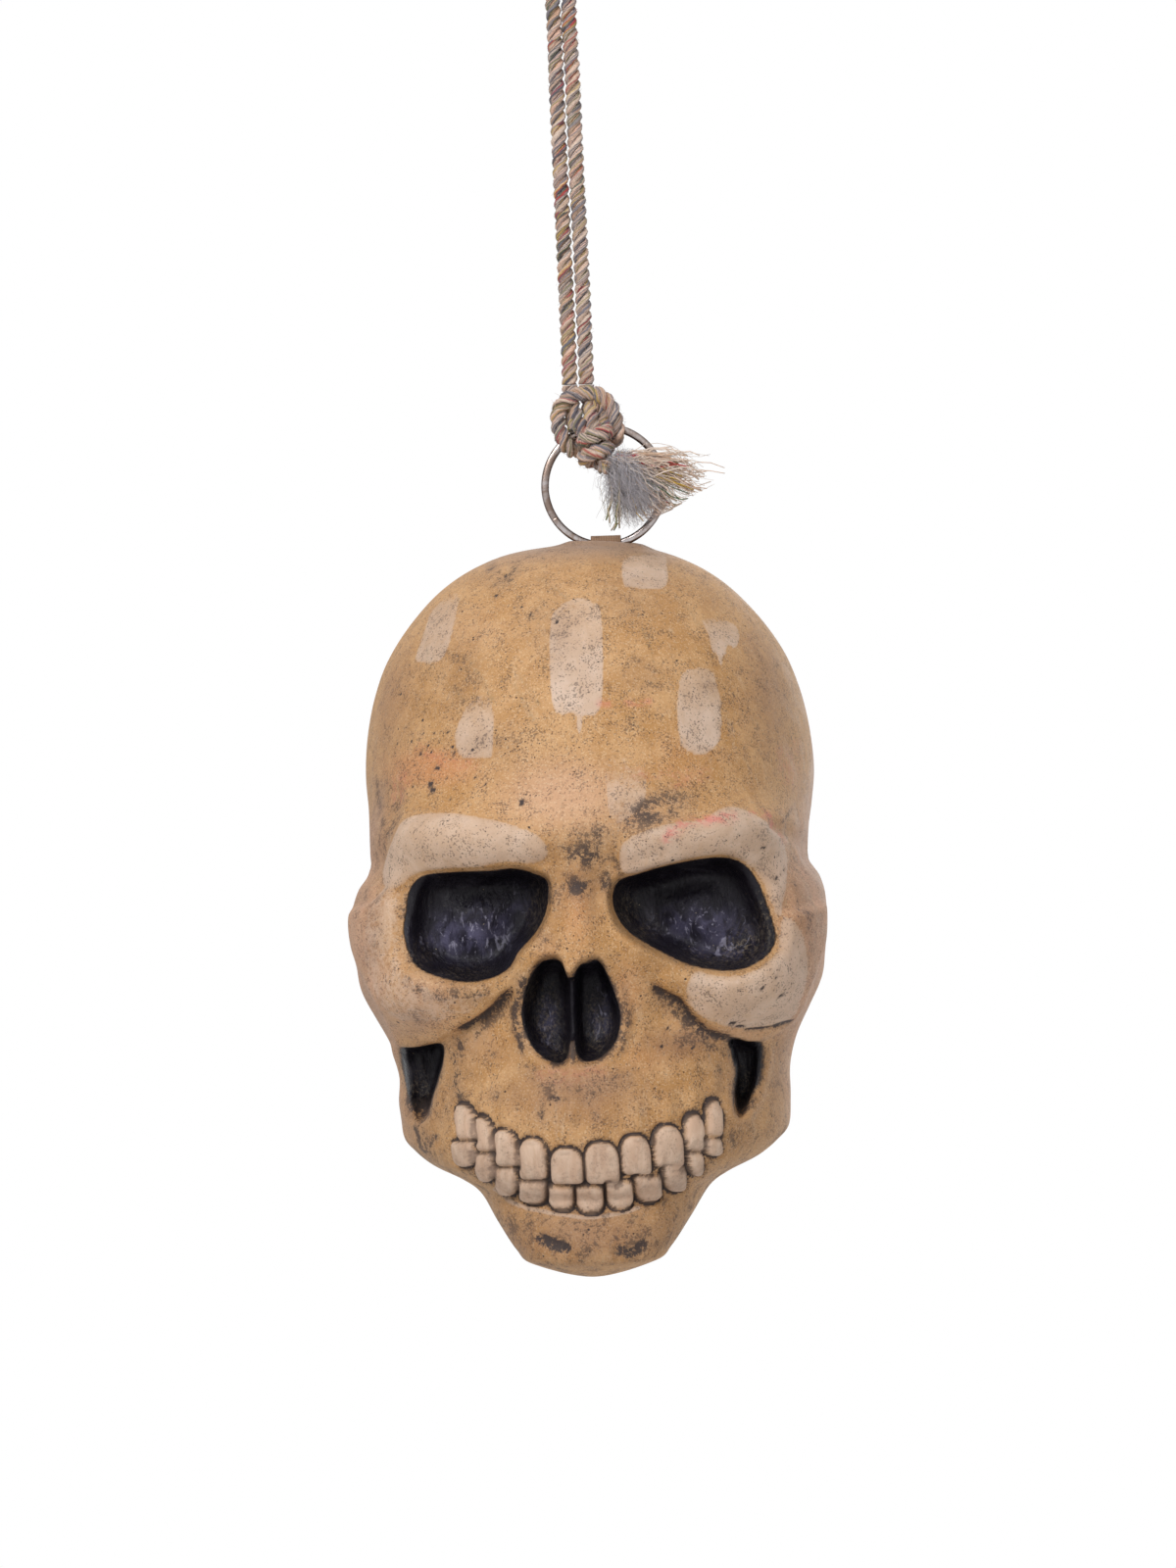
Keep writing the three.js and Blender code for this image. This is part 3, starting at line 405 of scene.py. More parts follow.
# Scratches: width and strength
SCRATCHES_PX = [
    (3.4, 0.8, [(478, 672), (490, 692), (503, 715)]), (3.0, 0.7, [(525, 700), (534, 716), (545, 735)]),
    (3.0, 0.6, [(530, 690), (541, 706), (550, 720)]), (3.0, 0.6, [(460, 700), (470, 712)]),
    (2.6, 0.5, [(655, 640), (664, 660), (668, 680)]), (2.6, 0.5, [(690, 610), (704, 622), (714, 640)]),
    (3.0, 0.5, [(548, 590), (566, 600), (580, 612)]), (2.6, 0.5, [(640, 730), (655, 744), (664, 760)]),
    (2.6, 0.5, [(620, 1232), (640, 1242), (662, 1240)]), (2.6, 0.4, [(430, 640), (436, 662), (438, 690)]),
]

# Soft patches of another tone, among them painted shade and painted highlights: middle, half width
# and height in pixels, and strength
TONES_PX = {
    # A dark wash, partly painted shade between the brows, beside and under the nose, and round the mouth and
    # chin
    "wash_and_shade": [
        (598, 872, 40, 24, 0.8), (590, 905, 24, 18, 0.85), (563, 912, 14, 32, 0.7), (556, 955, 12, 22, 0.6),
        (618, 900, 12, 26, 0.7), (660, 832, 40, 20, 0.75), (682, 816, 26, 14, 0.7),
        (612, 850, 30, 12, 0.65), (470, 690, 30, 50, 0.42), (560, 640, 30, 40, 0.4),
        (500, 760, 40, 20, 0.42), (640, 610, 40, 24, 0.42), (508, 592, 14, 12, 0.6),
        (724, 700, 12, 10, 0.4), (655, 690, 26, 16, 0.45), (430, 1030, 14, 16, 0.45),
        (455, 1095, 14, 26, 0.5), (470, 1075, 20, 18, 0.5), (600, 1105, 46, 14, 0.4),
        (568, 1121, 15, 6, 0.85), (552, 1137, 6, 16, 0.7), (601, 1123, 14, 9, 0.6),
        (609, 1138, 6, 10, 0.55), (506, 1118, 10, 8, 0.6), (526, 1111, 9, 12, 0.55),
        (481, 1096, 8, 14, 0.55), (735, 1098, 18, 30, 0.5), (700, 1062, 34, 14, 0.55),
        (560, 1245, 60, 10, 0.45), (655, 1246, 40, 10, 0.45), (430, 1160, 12, 26, 0.55),
        (756, 1150, 14, 30, 0.5), (600, 1290, 90, 12, 0.5), (796, 1090, 10, 50, 0.45),
        (386, 850, 10, 46, 0.5), (370, 905, 8, 24, 0.6), (832, 880, 12, 16, 0.6), (818, 930, 8, 30, 0.5),
        (384, 1060, 10, 20, 0.5), (640, 1200, 90, 44, 0.32),
    ],
    "warm": [
        (440, 783, 52, 22, 0.9), (700, 770, 60, 40, 0.35), (560, 980, 22, 40, 0.4),
        (640, 1010, 26, 40, 0.5), (590, 930, 26, 60, 0.5), (660, 1080, 40, 30, 0.4),
    ],
    "rosy": [
        (428, 1022, 44, 34, 0.9), (372, 950, 20, 50, 0.7), (395, 1000, 30, 40, 0.7),
        (750, 1050, 60, 16, 0.6), (575, 812, 74, 42, 0.9), (480, 640, 70, 40, 0.35),
        (835, 790, 26, 80, 0.6), (640, 830, 60, 26, 0.5), (590, 1100, 60, 20, 0.5),
    ],
    # Painted shade: darker at the forehead's sides, under the cheekbones and nose, and round the mouth and
    # chin
    "shade": [
        (392, 700, 40, 110, 0.65), (790, 690, 46, 110, 0.6), (600, 905, 20, 20, 0.4),
        (380, 830, 30, 60, 0.5), (500, 1075, 60, 20, 0.5), (800, 1120, 40, 60, 0.4),
        (590, 1118, 96, 40, 0.75), (600, 1262, 120, 34, 0.8), (692, 1066, 46, 22, 0.75),
        (486, 1066, 36, 22, 0.6), (430, 1120, 24, 60, 0.6), (752, 1110, 22, 60, 0.5),
        (595, 905, 30, 34, 0.5), (520, 1240, 50, 26, 0.4), (680, 1240, 50, 26, 0.4),
    ],
    "dust": [
        (762, 968, 22, 18, 1.0), (782, 945, 10, 28, 0.7), (722, 982, 40, 8, 0.8), (636, 934, 12, 24, 0.8),
        (650, 955, 16, 14, 0.7), (547, 935, 10, 32, 0.8), (424, 980, 12, 20, 0.6), (470, 996, 30, 7, 0.5),
        (612, 1058, 14, 22, 0.9), (606, 1030, 10, 18, 0.6), (556, 1040, 14, 34, 0.7),
        (570, 1075, 12, 10, 0.8), (540, 1010, 8, 22, 0.7), (426, 1120, 12, 24, 0.7),
        (758, 1112, 12, 26, 0.7),
    ],
    "pits": [(446, 772, 48, 34, 1.0), (430, 742, 30, 14, 0.7), (720, 800, 30, 18, 0.35)],
    # Painted highlights: bluish reflections on the floors of the eye sockets and in the nostrils
    "painted_highlight": [
        (470, 958, 36, 17, 1.0), (492, 942, 24, 14, 0.8), (522, 926, 14, 18, 0.35), (712, 944, 34, 16, 0.8),
        (742, 958, 24, 16, 0.7), (735, 972, 30, 8, 0.5), (558, 1046, 9, 24, 0.5), (611, 1040, 9, 24, 0.45),
    ],
}
# Red smears: width and strength
RED_SMEARS_PX = [
    (7.0, 0.5, [(612, 718), (640, 717), (662, 716)]),
    (9.0, 1.0, [(680, 853), (700, 840), (720, 838), (745, 836)]),
    (7.0, 1.0, [(765, 829), (785, 834), (799, 856)]),
    (12.0, 0.45, [(402, 800), (404, 815), (412, 795)]),
    (12.0, 0.3, [(430, 765), (450, 775), (480, 780)]),
    (14.0, 0.3, [(800, 770), (808, 800), (815, 760)]),
    (14.0, 0.3, [(555, 1095), (585, 1100), (610, 1092)]),
    (10.0, 0.3, [(690, 800), (720, 790), (640, 790)]),
]

# Teeth that start left of this pixel slope more
LEFT_TEETH_PX = 530
# Sides, top and bottom of each tooth, in the photograph's pixels
UPPER_TEETH_PX = [
    (466, 485, 1127, 1163), (486, 503, 1140, 1175), (505, 528, 1153, 1190), (530, 558, 1162, 1203),
    (562, 595, 1172, 1207), (597, 632, 1166, 1207), (634, 664, 1159, 1198), (667, 697, 1149, 1191),
    (699, 718, 1137, 1175), (720, 736, 1123, 1160),
]
LOWER_TEETH_PX = [
    (463, 485, 1165, 1190), (486, 505, 1177, 1205), (506, 528, 1192, 1219), (530, 558, 1205, 1228),
    (560, 586, 1211, 1234), (588, 616, 1211, 1237), (619, 646, 1206, 1233), (648, 675, 1200, 1226),
    (677, 700, 1190, 1215), (702, 717, 1176, 1199), (719, 736, 1162, 1179),
]


def row_value(column, place):
    """Smooth values of one column of the head's table, at places counted in rows."""
    rows = HEAD_SHARES[:, column]
    last = len(rows) - 1
    index = np.minimum(np.floor(place).astype(int), last - 1)
    t = place - index
    before, after = rows[np.maximum(index - 1, 0)], rows[np.minimum(index + 2, last)]
    start, end = rows[index], rows[index + 1]
    flat_ends = column == 0
    start_slope = np.where(index == 0, (end - start) * (not flat_ends), (end - before) / 2)
    end_slope = np.where(index == last - 1, end - start, (after - start) / 2)
    t2, t3 = t * t, t * t * t
    return (start * (2 * t3 - 3 * t2 + 1) + start_slope * (t3 - 2 * t2 + t)
            + end * (3 * t2 - 2 * t3) + end_slope * (t3 - t2))


def head_points(place, angle):
    """Points of the smooth head at places among its rows and angles round it."""
    half_depth = SKULL_DEPTH / 2
    z = row_value(0, place) * SKULL_HEIGHT
    half = np.maximum(row_value(1, place), 0) * HALF_WIDTH
    front = row_value(2, place) * SKULL_DEPTH - half_depth
    back = row_value(3, place) * SKULL_DEPTH - half_depth
    widest = row_value(4, place) * SKULL_DEPTH - half_depth
    side, ahead = np.sin(angle), np.cos(angle)
    power = np.where(ahead > 0, row_value(5, place), row_value(6, place))
    extent = np.where(ahead > 0, widest - front, back - widest)
    radius = (np.abs(side) ** power + np.abs(ahead) ** power) ** (-1 / power)
    x = half * radius * side
    y = widest - extent * radius * ahead
    push = np.zeros_like(x)
    for across, level, reach, rise, height in SWELL_SHARES:
        spread = ((x / HALF_WIDTH - across) / reach) ** 2 + ((z / SKULL_HEIGHT - level) / rise) ** 2
        push += height * half_depth * np.exp(-spread)
    push *= np.sqrt(np.maximum(ahead, 0))
    slope_x = side / np.maximum(half, 1)
    slope_y = ahead / np.maximum(extent, 1)
    length = np.hypot(slope_x, slope_y)
    return np.stack([x + push * slope_x / length, y - push * slope_y / length, z], axis=-1)


def smooth(value, low, high):
    """A smooth step from 0 at low to 1 at high."""
    t = np.clip((value - low) / (high - low), 0, 1)
    return t * t * (3 - 2 * t)


def curve_through(points, closed, per_span=6):
    """A smooth line through points, as evenly counted samples of each span."""
    pts = np.array(points, float)
    count = len(pts)
    out = []
    for i in range(count if closed else count - 1):
        pick = [(i + k) % count if closed else min(max(i + k, 0), count - 1) for k in (-1, 0, 1, 2)]
        a, b, c, d = pts[pick]
        for t in np.arange(per_span) / per_span:
            out.append(0.5 * (2 * b + (c - a) * t + (2 * a - 5 * b + 4 * c - d) * t * t
                              + (3 * b - a - 3 * c + d) * t ** 3))
    if not closed:
        out.append(pts[-1])
    return np.array(out)


def line_distance(u, v, line, closed):
    """Distance in pixels from each place to a line, and whether it is inside a closed one."""
    ends = np.roll(line, -1, axis=0) if closed else line[1:]
    starts = line if closed else line[:-1]
    best = np.full(u.shape, 1e9)
    inside = np.zeros(u.shape, bool)
    for (ax, ay), (bx, by) in zip(starts, ends):
        dx, dy = bx - ax, by - ay
        t = np.clip(((u - ax) * dx + (v - ay) * dy) / (dx * dx + dy * dy + 1e-9), 0, 1)
        best = np.minimum(best, (u - ax - t * dx) ** 2 + (v - ay - t * dy) ** 2)
        if closed and ay != by:
            crosses = ((ay > v) != (by > v)) & (u < ax + (v - ay) * dx / (by - ay))
            inside ^= crosses
    return np.sqrt(best), inside


class Face:
    """The part of the head that the photograph shows, with its pixels, relief and paint."""

    def __init__(self, points, seen):
        self.points = points
        self.seen = seen
        self.u, self.v = photo_px(points)
        self.raised = np.zeros(seen.shape)
        self.sunk = np.zeros(seen.shape)
        self.masks = {}

    def mark(self, name, value):
        """Adds to a paint mask, where the value is the stronger of the two."""
        self.masks[name] = np.maximum(self.masks.get(name, 0), value)

    def near(self, line, margin):
        low, high = line.min(axis=0) - margin, line.max(axis=0) + margin
        return ((self.u > low[0]) & (self.u < high[0]) & (self.v > low[1]) & (self.v < high[1])
                & (self.seen > 0))

    def outline(self, points):
        """Millimetres inside an outline, negative outside."""
        line = curve_through(points, True)
        depth = np.full(self.u.shape, -MARGIN_PX / PX_PER_MM)
        pick = self.near(line, MARGIN_PX)
        distance, inside = line_distance(self.u[pick], self.v[pick], line, True)
        depth[pick] = np.where(inside, distance, -distance) / PX_PER_MM
        return depth

    def share_of(self, points):
        """How far out from an outline's middle each place is, one on the outline."""
        line = curve_through(points, True)
        middle = line.mean(axis=0)
        arms = line - middle
        turns = np.arctan2(arms[:, 1], arms[:, 0])
        order = np.argsort(turns)
        turns, reach = turns[order], np.hypot(arms[order, 0], arms[order, 1])
        turns = np.concatenate([turns - 2 * math.pi, turns, turns + 2 * math.pi])
        share = np.full(self.u.shape, FAR_SHARE)
        pick = self.near(line, MARGIN_PX)
        across, down = self.u[pick] - middle[0], self.v[pick] - middle[1]
        outer = np.interp(np.arctan2(down, across), turns, np.tile(reach, 3))
        share[pick] = np.hypot(across, down) / outer
        return share, middle

    def stroke(self, points, width):
        """One on a line, falling smoothly to nothing at a width in pixels."""
        line = curve_through(points, False)
        out = np.zeros(self.u.shape)
        pick = self.near(line, width)
        distance, _ = line_distance(self.u[pick], self.v[pick], line, False)
        out[pick] = 1 - smooth(distance, 0, width)
        return out

    def patches(self, rows):
        """The strongest of some soft oval patches."""
        out = np.zeros(self.u.shape)
        for u, v, half_wide, half_high, strength in rows:
            away = ((self.u - u) / half_wide) ** 2 + ((self.v - v) / half_high) ** 2
            out = np.maximum(out, strength * np.exp(-away))
        return out


def tooth_shape(face, left, right, top, bottom, upper):
    """Millimetres outside a tooth's edge, and its share of the way from the tooth's middle.

    The neck of the tooth is round and its bite edge is square.
    """
    half_wide, half_high = (right - left) / 2 + 1.3, (bottom - top) / 2 + 1.6
    level = face.v - (top + bottom) / 2
    lean = LEFT_LEAN if left < LEFT_TEETH_PX else TOOTH_LEAN
    across = np.abs(face.u - (left + right) / 2 - lean * level) / half_wide
    up = level / half_high * (-1 if upper else 1)
    power = np.where(up > 0, 2.5, 9.0)
    reach = (across ** power + np.abs(up) ** power) ** (1 / power)
    return (reach - 1) * min(half_wide, half_high) / PX_PER_MM, reach


def carve(face, outline, profile, depth, rim_wash_and_shade, fades, wall):
    """Sinks one hollow into the face and blacks it in."""
    inside = face.outline(outline)
    size, middle = face.share_of(outline)
    front = face.points[:, 1]
    nearest = np.argmin((face.u - middle[0]) ** 2 + (face.v - middle[1]) ** 2 + 1e6 * (face.seen <= 0))
    mouth = front[nearest]
    shares, depths = curve_through(profile, False, 12).T
    down = mouth + depth * np.interp(size, shares, depths) - front
    rounding = 1.2 * smooth(-size, -HOLLOW_REACH, -1.1)
    sunk = 0.5 * (down + np.sqrt(down ** 2 + rounding ** 2 + 1e-9))
    face.sunk = np.maximum(face.sunk, np.where(size < HOLLOW_REACH, sunk, 0))
    if wall:
        behind = mouth + depth + wall - front
        face.sunk = np.maximum(face.sunk, np.where(inside > -2 * wall, behind, 0))
    face.raised += 0.7 * np.exp(-((inside + 2.4) / 1.4) ** 2)
    painted = smooth(inside, -1.4, 0.8)
    if fades:
        face.mark("wash_and_shade", 0.9 * smooth(inside, -2.2, 0.8))
        painted = np.maximum(painted, 0.6 * smooth(inside, -3.6, 0.4))
        painted *= 1 - 0.7 * smooth(face.v, *RECESS_FADE_PX)
    face.mark("ink", painted)
    # A dark wash round the rim, partly painted shade at the edge of the hollow
    face.mark("wash_and_shade", rim_wash_and_shade * (1 - smooth(-inside, 0, 3.6)))


def raise_bones(face):
    """Lifts the brows, cheekbones and ridges, and lowers the strip between the nostrils."""
    for outline, height, edge in BONES:
        face.raised += height * smooth(face.outline(outline), -edge / 2, edge)
    strip = face.stroke(SEPTUM_PX, 14)
    face.raised -= 2.6 * strip
    face.mark("ink", 0.62 * smooth(strip, 0.0, 0.5))
    for width, height, line in RIDGES_PX:
        face.raised += height * face.stroke(line, width)


def lay_paint(face):
    """Brushes on the white areas, grooves, smudges, pits, smears and scratches, with painted shade in the
    grooves and smudges.
    """
    for outline, strength in WHITE_AREAS:
        face.mark("white", strength * smooth(face.outline(outline), -0.8, 1.2))
    for strength, outline in STROKES_PX:
        levels = [v for _, v in outline]
        fade = 0.4 + 0.6 * smooth((face.v - min(levels)) / (max(levels) - min(levels)), 0.0, 0.65)
        face.mark("white", strength * fade * smooth(face.outline(outline), -0.3, 0.5))
    face.mark("white", 0.7 * face.stroke(GUM_LINE_PX, 4))
    # Grooves are sunk and darkened with the wash, partly painted shade in the crease
    for width, depth, dark, line in GROOVES_PX:
        near = face.stroke(line, width * 1.6)
        face.raised -= depth * near
        face.mark("wash_and_shade", dark * smooth(near, 0.1, 0.7))
    # Smudges of dark wash, partly painted shade
    for width, dark, line in SMUDGE_AND_SHADE_PX:
        face.mark("wash_and_shade", np.minimum(1.3 * dark * face.stroke(line, width), 0.9))
    for u, v, size in SPOTS_PX:
        near = np.exp(-((face.u - u) ** 2 + (face.v - v) ** 2) / (size * 0.8) ** 2)
        face.raised -= 0.5 * near
        face.mark("wash_and_shade", smooth(near, 0.15, 0.6))
    for name, rows in (("red", RED_SMEARS_PX), ("scratch", SCRATCHES_PX)):
        for width, strength, line in rows:
            face.mark(name, strength * face.stroke(line, width))


def set_teeth(face):
    """Models both rows of teeth, with a dark line round each."""
    bulge = np.zeros(face.u.shape)
    line = np.zeros(face.u.shape)
    for left, right, top, bottom in UPPER_TEETH_PX + LOWER_TEETH_PX:
        upper = (left, right, top, bottom) in UPPER_TEETH_PX
        edge, reach = tooth_shape(face, left, right, top, bottom, upper)
        across = face.u - (left + right) / 2
        face.mark("enamel", 1 - smooth(edge, -0.65, -0.1))
        bulge = np.maximum(bulge, np.sqrt(np.clip(1 - reach ** 4, 0, 1)))
        neck = smooth((face.v - (top + bottom) / 2) * (-1 if upper else 1), -14, 8)
        rim = np.exp(-(edge / 0.58) ** 2)
        line = np.maximum(line, rim * (0.5 + 0.5 * neck))
        line = np.maximum(line, rim * (np.abs(across) > (right - left) * 0.36))
        if upper:
            root = smooth(face.v, top - 55, top - 10) * (face.v < top + 4)
            face.raised += 0.9 * np.exp(-(across / 8) ** 2) * root
    face.raised += 1.9 * bulge - 1.2 * line
    face.masks["wash_and_shade"] = face.masks["wash_and_shade"] * (1 - face.masks["enamel"])
    face.mark("wash_and_shade", smooth(line, 0.2, 0.62))
    face.masks["wash_and_shade"] = np.clip(face.masks["wash_and_shade"], 0, 1)


def hanger_slot(points):
    """How far the crown dips where the strap comes through, less the low collar round it."""
    across, along = points[:, 0] - HANGER_OFFSET, points[:, 1] - HANGER_SETBACK
    dip = 2.6 * np.exp(-((across / 8) ** 4 + (along / 2.8) ** 2))
    ring = np.hypot(across / 9.5, along / 6)
    dip -= COLLAR_HEIGHT * np.exp(-((ring - 1) / 0.42) ** 2)
    return np.where(points[:, 2] > SKULL_HEIGHT * 0.9, dip, 0)


def sculpt(points, normals, seen, wall):
    """Moves the smooth head's points into the photographed face, and says how each is painted.

    A wall in millimetres leaves that much round each hollow, for the foam behind the skin.
    """
    face = Face(points, seen)
    for hollow in HOLLOWS:
        carve(face, *hollow, wall)
    raise_bones(face)
    lay_paint(face)
    set_teeth(face)
    face.masks["white"] *= 1 - face.masks["ink"]
    for name, rows in TONES_PX.items():
        face.mark(name, face.patches(rows) * (1 - face.masks["enamel"]))

    moved = points + normals * (face.raised * seen)[:, None]
    moved[:, 1] += face.sunk * seen
    moved[:, 2] -= hanger_slot(points)
    moved[:, 1] = FRONT_LIMIT + 0.5 * np.logaddexp(0, (moved[:, 1] - FRONT_LIMIT) / 0.5)
    spare = HALF_WIDTH - np.abs(moved[:, 0])
    moved[:, 0] = np.sign(moved[:, 0]) * (HALF_WIDTH - 0.4 * np.logaddexp(0, spare / 0.4))
    ahead = np.where(np.abs(points[:, 0]) > HALF_WIDTH * 0.6, smooth(-normals[:, 1], 0.08, 0.34), 1)
    return moved, {name: value * (seen > 0) * ahead for name, value in face.masks.items()}


def head_rings(ring_count, point_count, crowding):
    """Rings of points on the smooth head, closer together at the mouth and toward the front."""
    last = len(HEAD_SHARES) - 1
    tried = np.linspace(0, last, 1500)
    profile = head_points(tried, 0 * tried)
    crowd = 1 + 1.1 * np.exp(-((profile[:, 2] - MOUTH_LEVEL) / 22) ** 2)
    steps = np.linalg.norm(np.diff(profile, axis=0), axis=1) * (crowd[1:] + crowd[:-1]) / 2
    walked = np.append(0, np.cumsum(steps))
    place = np.interp(np.arange(1, ring_count) / ring_count * walked[-1], walked, tried)
    turn = np.arange(point_count) / point_count * 2 * math.pi
    angle = turn - crowding * np.sin(turn)
    return head_points(place[:, None] + 0 * angle, angle[None, :] + 0 * place[:, None])


def quads_between(index):
    """Faces between rings of point numbers that follow each other."""
    following = np.roll(index, -1, axis=-1)
    corners = [index[..., :-1, :], following[..., :-1, :], following[..., 1:, :], index[..., 1:, :]]
    return [tuple(quad) for quad in np.stack(corners, axis=-1).reshape(-1, 4)]


def globe_faces(index):
    """Faces between rings of point numbers, with a fan to a pole at each end."""
    following = np.roll(index, -1, axis=1)
    low_fan = [(index.size, b, a) for a, b in zip(index[0], following[0])]
    high_fan = [(index.size + 1, a, b) for a, b in zip(index[-1], following[-1])]
    return quads_between(index) + low_fan + high_fan


def tube_faces(index):
    """Faces of tubes, whose point numbers are given by tube, ring and side, with closed ends."""
    return quads_between(index) + [tuple(end) for end in (*index[:, 0, ::-1], *index[:, -1])]


def head_grid(ring_count, point_count, crowding, inset, wall=0.0):
    """The sculpted head's points and faces, with its paint masks."""
    grid = head_rings(ring_count, point_count, crowding)
    around = np.roll(grid, -1, axis=1) - np.roll(grid, 1, axis=1)
    normal = np.cross(around, np.gradient(grid, axis=0))
    normal /= np.linalg.norm(normal, axis=-1, keepdims=True) + 1e-12
    points, normals = grid.reshape(-1, 3), normal.reshape(-1, 3)
    seen = smooth(-normals[:, 1], -0.12, 0.12) * (points[:, 1] < 10)
    moved, masks = sculpt(points, normals, seen, wall)
    moved -= normals * inset
    moved[:, 1] += inset * masks["ink"]
    low, high = head_points(np.array([0.0, len(HEAD_SHARES) - 1]), np.zeros(2))
    moved = np.vstack([moved, low + [0, 0, inset], high - [0, 0, inset]])
    masks = {name: np.append(value, [0, 0]) for name, value in masks.items()}
    return moved, globe_faces(np.arange(len(points)).reshape(grid.shape[:2])), masks


def make_mesh(name, points_mm, faces, origin):
    """A smooth mesh object in the row frame from points in millimetres."""
    mesh = bpy.data.meshes.new(name)
    points = (np.asarray(points_mm) + origin) * MM
    mesh.from_pydata(points.tolist(), [], faces)
    mesh.validate()
    mesh.update()
    mesh.polygons.foreach_set("use_smooth", [True] * len(mesh.polygons))
    obj = bpy.data.objects.new(name, mesh)
    bpy.context.collection.objects.link(obj)
    return obj


def paint(obj, name, values):
    """Keeps a number for each point, for the material to read."""
    layer = obj.data.attributes.new(name, "FLOAT", "POINT")
    layer.data.foreach_set("value", np.asarray(values, np.float32))


def paint_colour(obj, name, colours):
    """Keeps a colour for each point, for the material to read."""
    layer = obj.data.attributes.new(name, "FLOAT_COLOR", "POINT")
    rgba = np.ones((len(colours), 4), np.float32)
    rgba[:, :3] = colours
    layer.data.foreach_set("color", rgba.ravel())


def lin(red, green, blue):
    """Linear colour of a screen colour given as 0 to 255."""
    out = []
    for part in (red / 255, green / 255, blue / 255):
        out.append(part / 12.92 if part < 0.04045 else ((part + 0.055) / 1.055) ** 2.4)
    return (*out, 1.0)


class Value:
    """What a node gives at each place, open to ordinary arithmetic."""

    def __init__(self, look, socket):
        self.look = look
        self.socket = socket

    def __add__(self, other):
        return self.look.maths("ADD", self, other)

    def __mul__(self, other):
        return self.look.maths("MULTIPLY", self, other)

    def __sub__(self, other):
        return self.look.maths("SUBTRACT", self, other)

    def __rsub__(self, other):
        return self.look.maths("SUBTRACT", other, self)

    def __abs__(self):
        return self.look.maths("ABSOLUTE", self)

    __radd__ = __add__
    __rmul__ = __mul__


class Look:
    """The nodes of a material or of the world, built a step at a time."""

    def __init__(self, owner):
        owner.use_nodes = True
        self.owner = owner
        self.tree = owner.node_tree
        self.where = self.node("ShaderNodeTexCoord").outputs["Object"]

    def put(self, socket, value):
        """Joins a socket to a node's output, or sets it."""
        value = getattr(value, "socket", value)
        if isinstance(value, bpy.types.NodeSocket):
            self.tree.links.new(value, socket)
        else:
            socket.default_value = value

    def node(self, kind, inputs=(), **settings):
        """A new node, with its inputs given by name or by number."""
        made = self.tree.nodes.new(kind)
        for key, value in settings.items():
            setattr(made, key, value)
        for key, value in dict(inputs).items():
            self.put(made.inputs[key], value)
        return made

    def maths(self, operation, *values):
        """One step of arithmetic on values or numbers."""
        return Value(self, self.node("ShaderNodeMath", enumerate(values), operation=operation).outputs[0])

    def most(self, first, *others):
        """The largest of some values."""
        for other in others:
            first = self.maths("MAXIMUM", first, other)
        return first

    def ramp(self, value, low, high, bottom=0.0, top=1.0):
        """A smooth step of a value between low and high."""
        made = self.node("ShaderNodeMapRange", {
            "Value": value, "From Min": low, "From Max": high, "To Min": bottom, "To Max": top,
        }, interpolation_type="SMOOTHSTEP")
        return Value(self, made.outputs["Result"])

    def noise(self, scale, detail=4.0, roughness=0.55, distortion=0.0, stretch=None, seed=0.0):
        """Cloudy noise from 0 to 1, drawn out along the axes that are stretched below one."""
        where = self.where
        if stretch:
            where = self.node("ShaderNodeMapping", {"Vector": where, "Scale": stretch}).outputs["Vector"]
        made = self.node("ShaderNodeTexNoise", {
            "Vector": where, "W": seed, "Scale": scale, "Detail": detail,
            "Roughness": roughness, "Distortion": distortion,
        }, noise_dimensions="4D")
        return Value(self, made.outputs["Fac"])

    def cells(self, scale, where=None):
        """Cells of a size: the distance to each cell's middle, and a colour for each."""
        made = self.node("ShaderNodeTexVoronoi", {"Vector": where or self.where, "Scale": scale})
        return Value(self, made.outputs["Distance"]), made.outputs["Color"]

    def dots(self, scale, size, share, seed=0.0):
        """Round dots of a size in millimetres, in a share of the cells of a grid."""
        shift = {"Vector": self.where, "Location": (seed, seed * 0.7, seed * 1.3)}
        distance, colour = self.cells(scale, self.node("ShaderNodeMapping", shift).outputs["Vector"])
        dot = self.ramp(self.maths("DIVIDE", distance, size * MM * scale), 0.6, 1.0, 1.0, 0.0)
        chosen = self.node("ShaderNodeSeparateColor", {0: colour}).outputs[0]
        return dot * self.maths("LESS_THAN", chosen, share)

    def mix(self, factor, a, b):
        """The colour a, turned to b by a factor."""
        return self.node("ShaderNodeMix", {0: factor, 6: a, 7: b}, data_type="RGBA").outputs[2]

    def painted(self, name, output="Fac"):
        """What the mesh keeps at each point under a name."""
        return Value(self, self.node("ShaderNodeAttribute", attribute_name=name).outputs[output])

    def bump(self, height, distance_mm, strength=1.0, over=None):
        """The surface raised by a height, over another bump if there is one."""
        inputs = {"Strength": strength, "Distance": distance_mm * MM, "Height": height}
        if over is not None:
            inputs["Normal"] = over
        return self.node("ShaderNodeBump", inputs).outputs["Normal"]

    def end(self, **inputs):
        """The finished material, with the shader's inputs."""
        for name, value in inputs.items():
            self.put(self.tree.nodes["Principled BSDF"].inputs[name.replace("_", " ")], value)
        return self.owner


def material(name):
    return Look(bpy.data.materials.new(name))


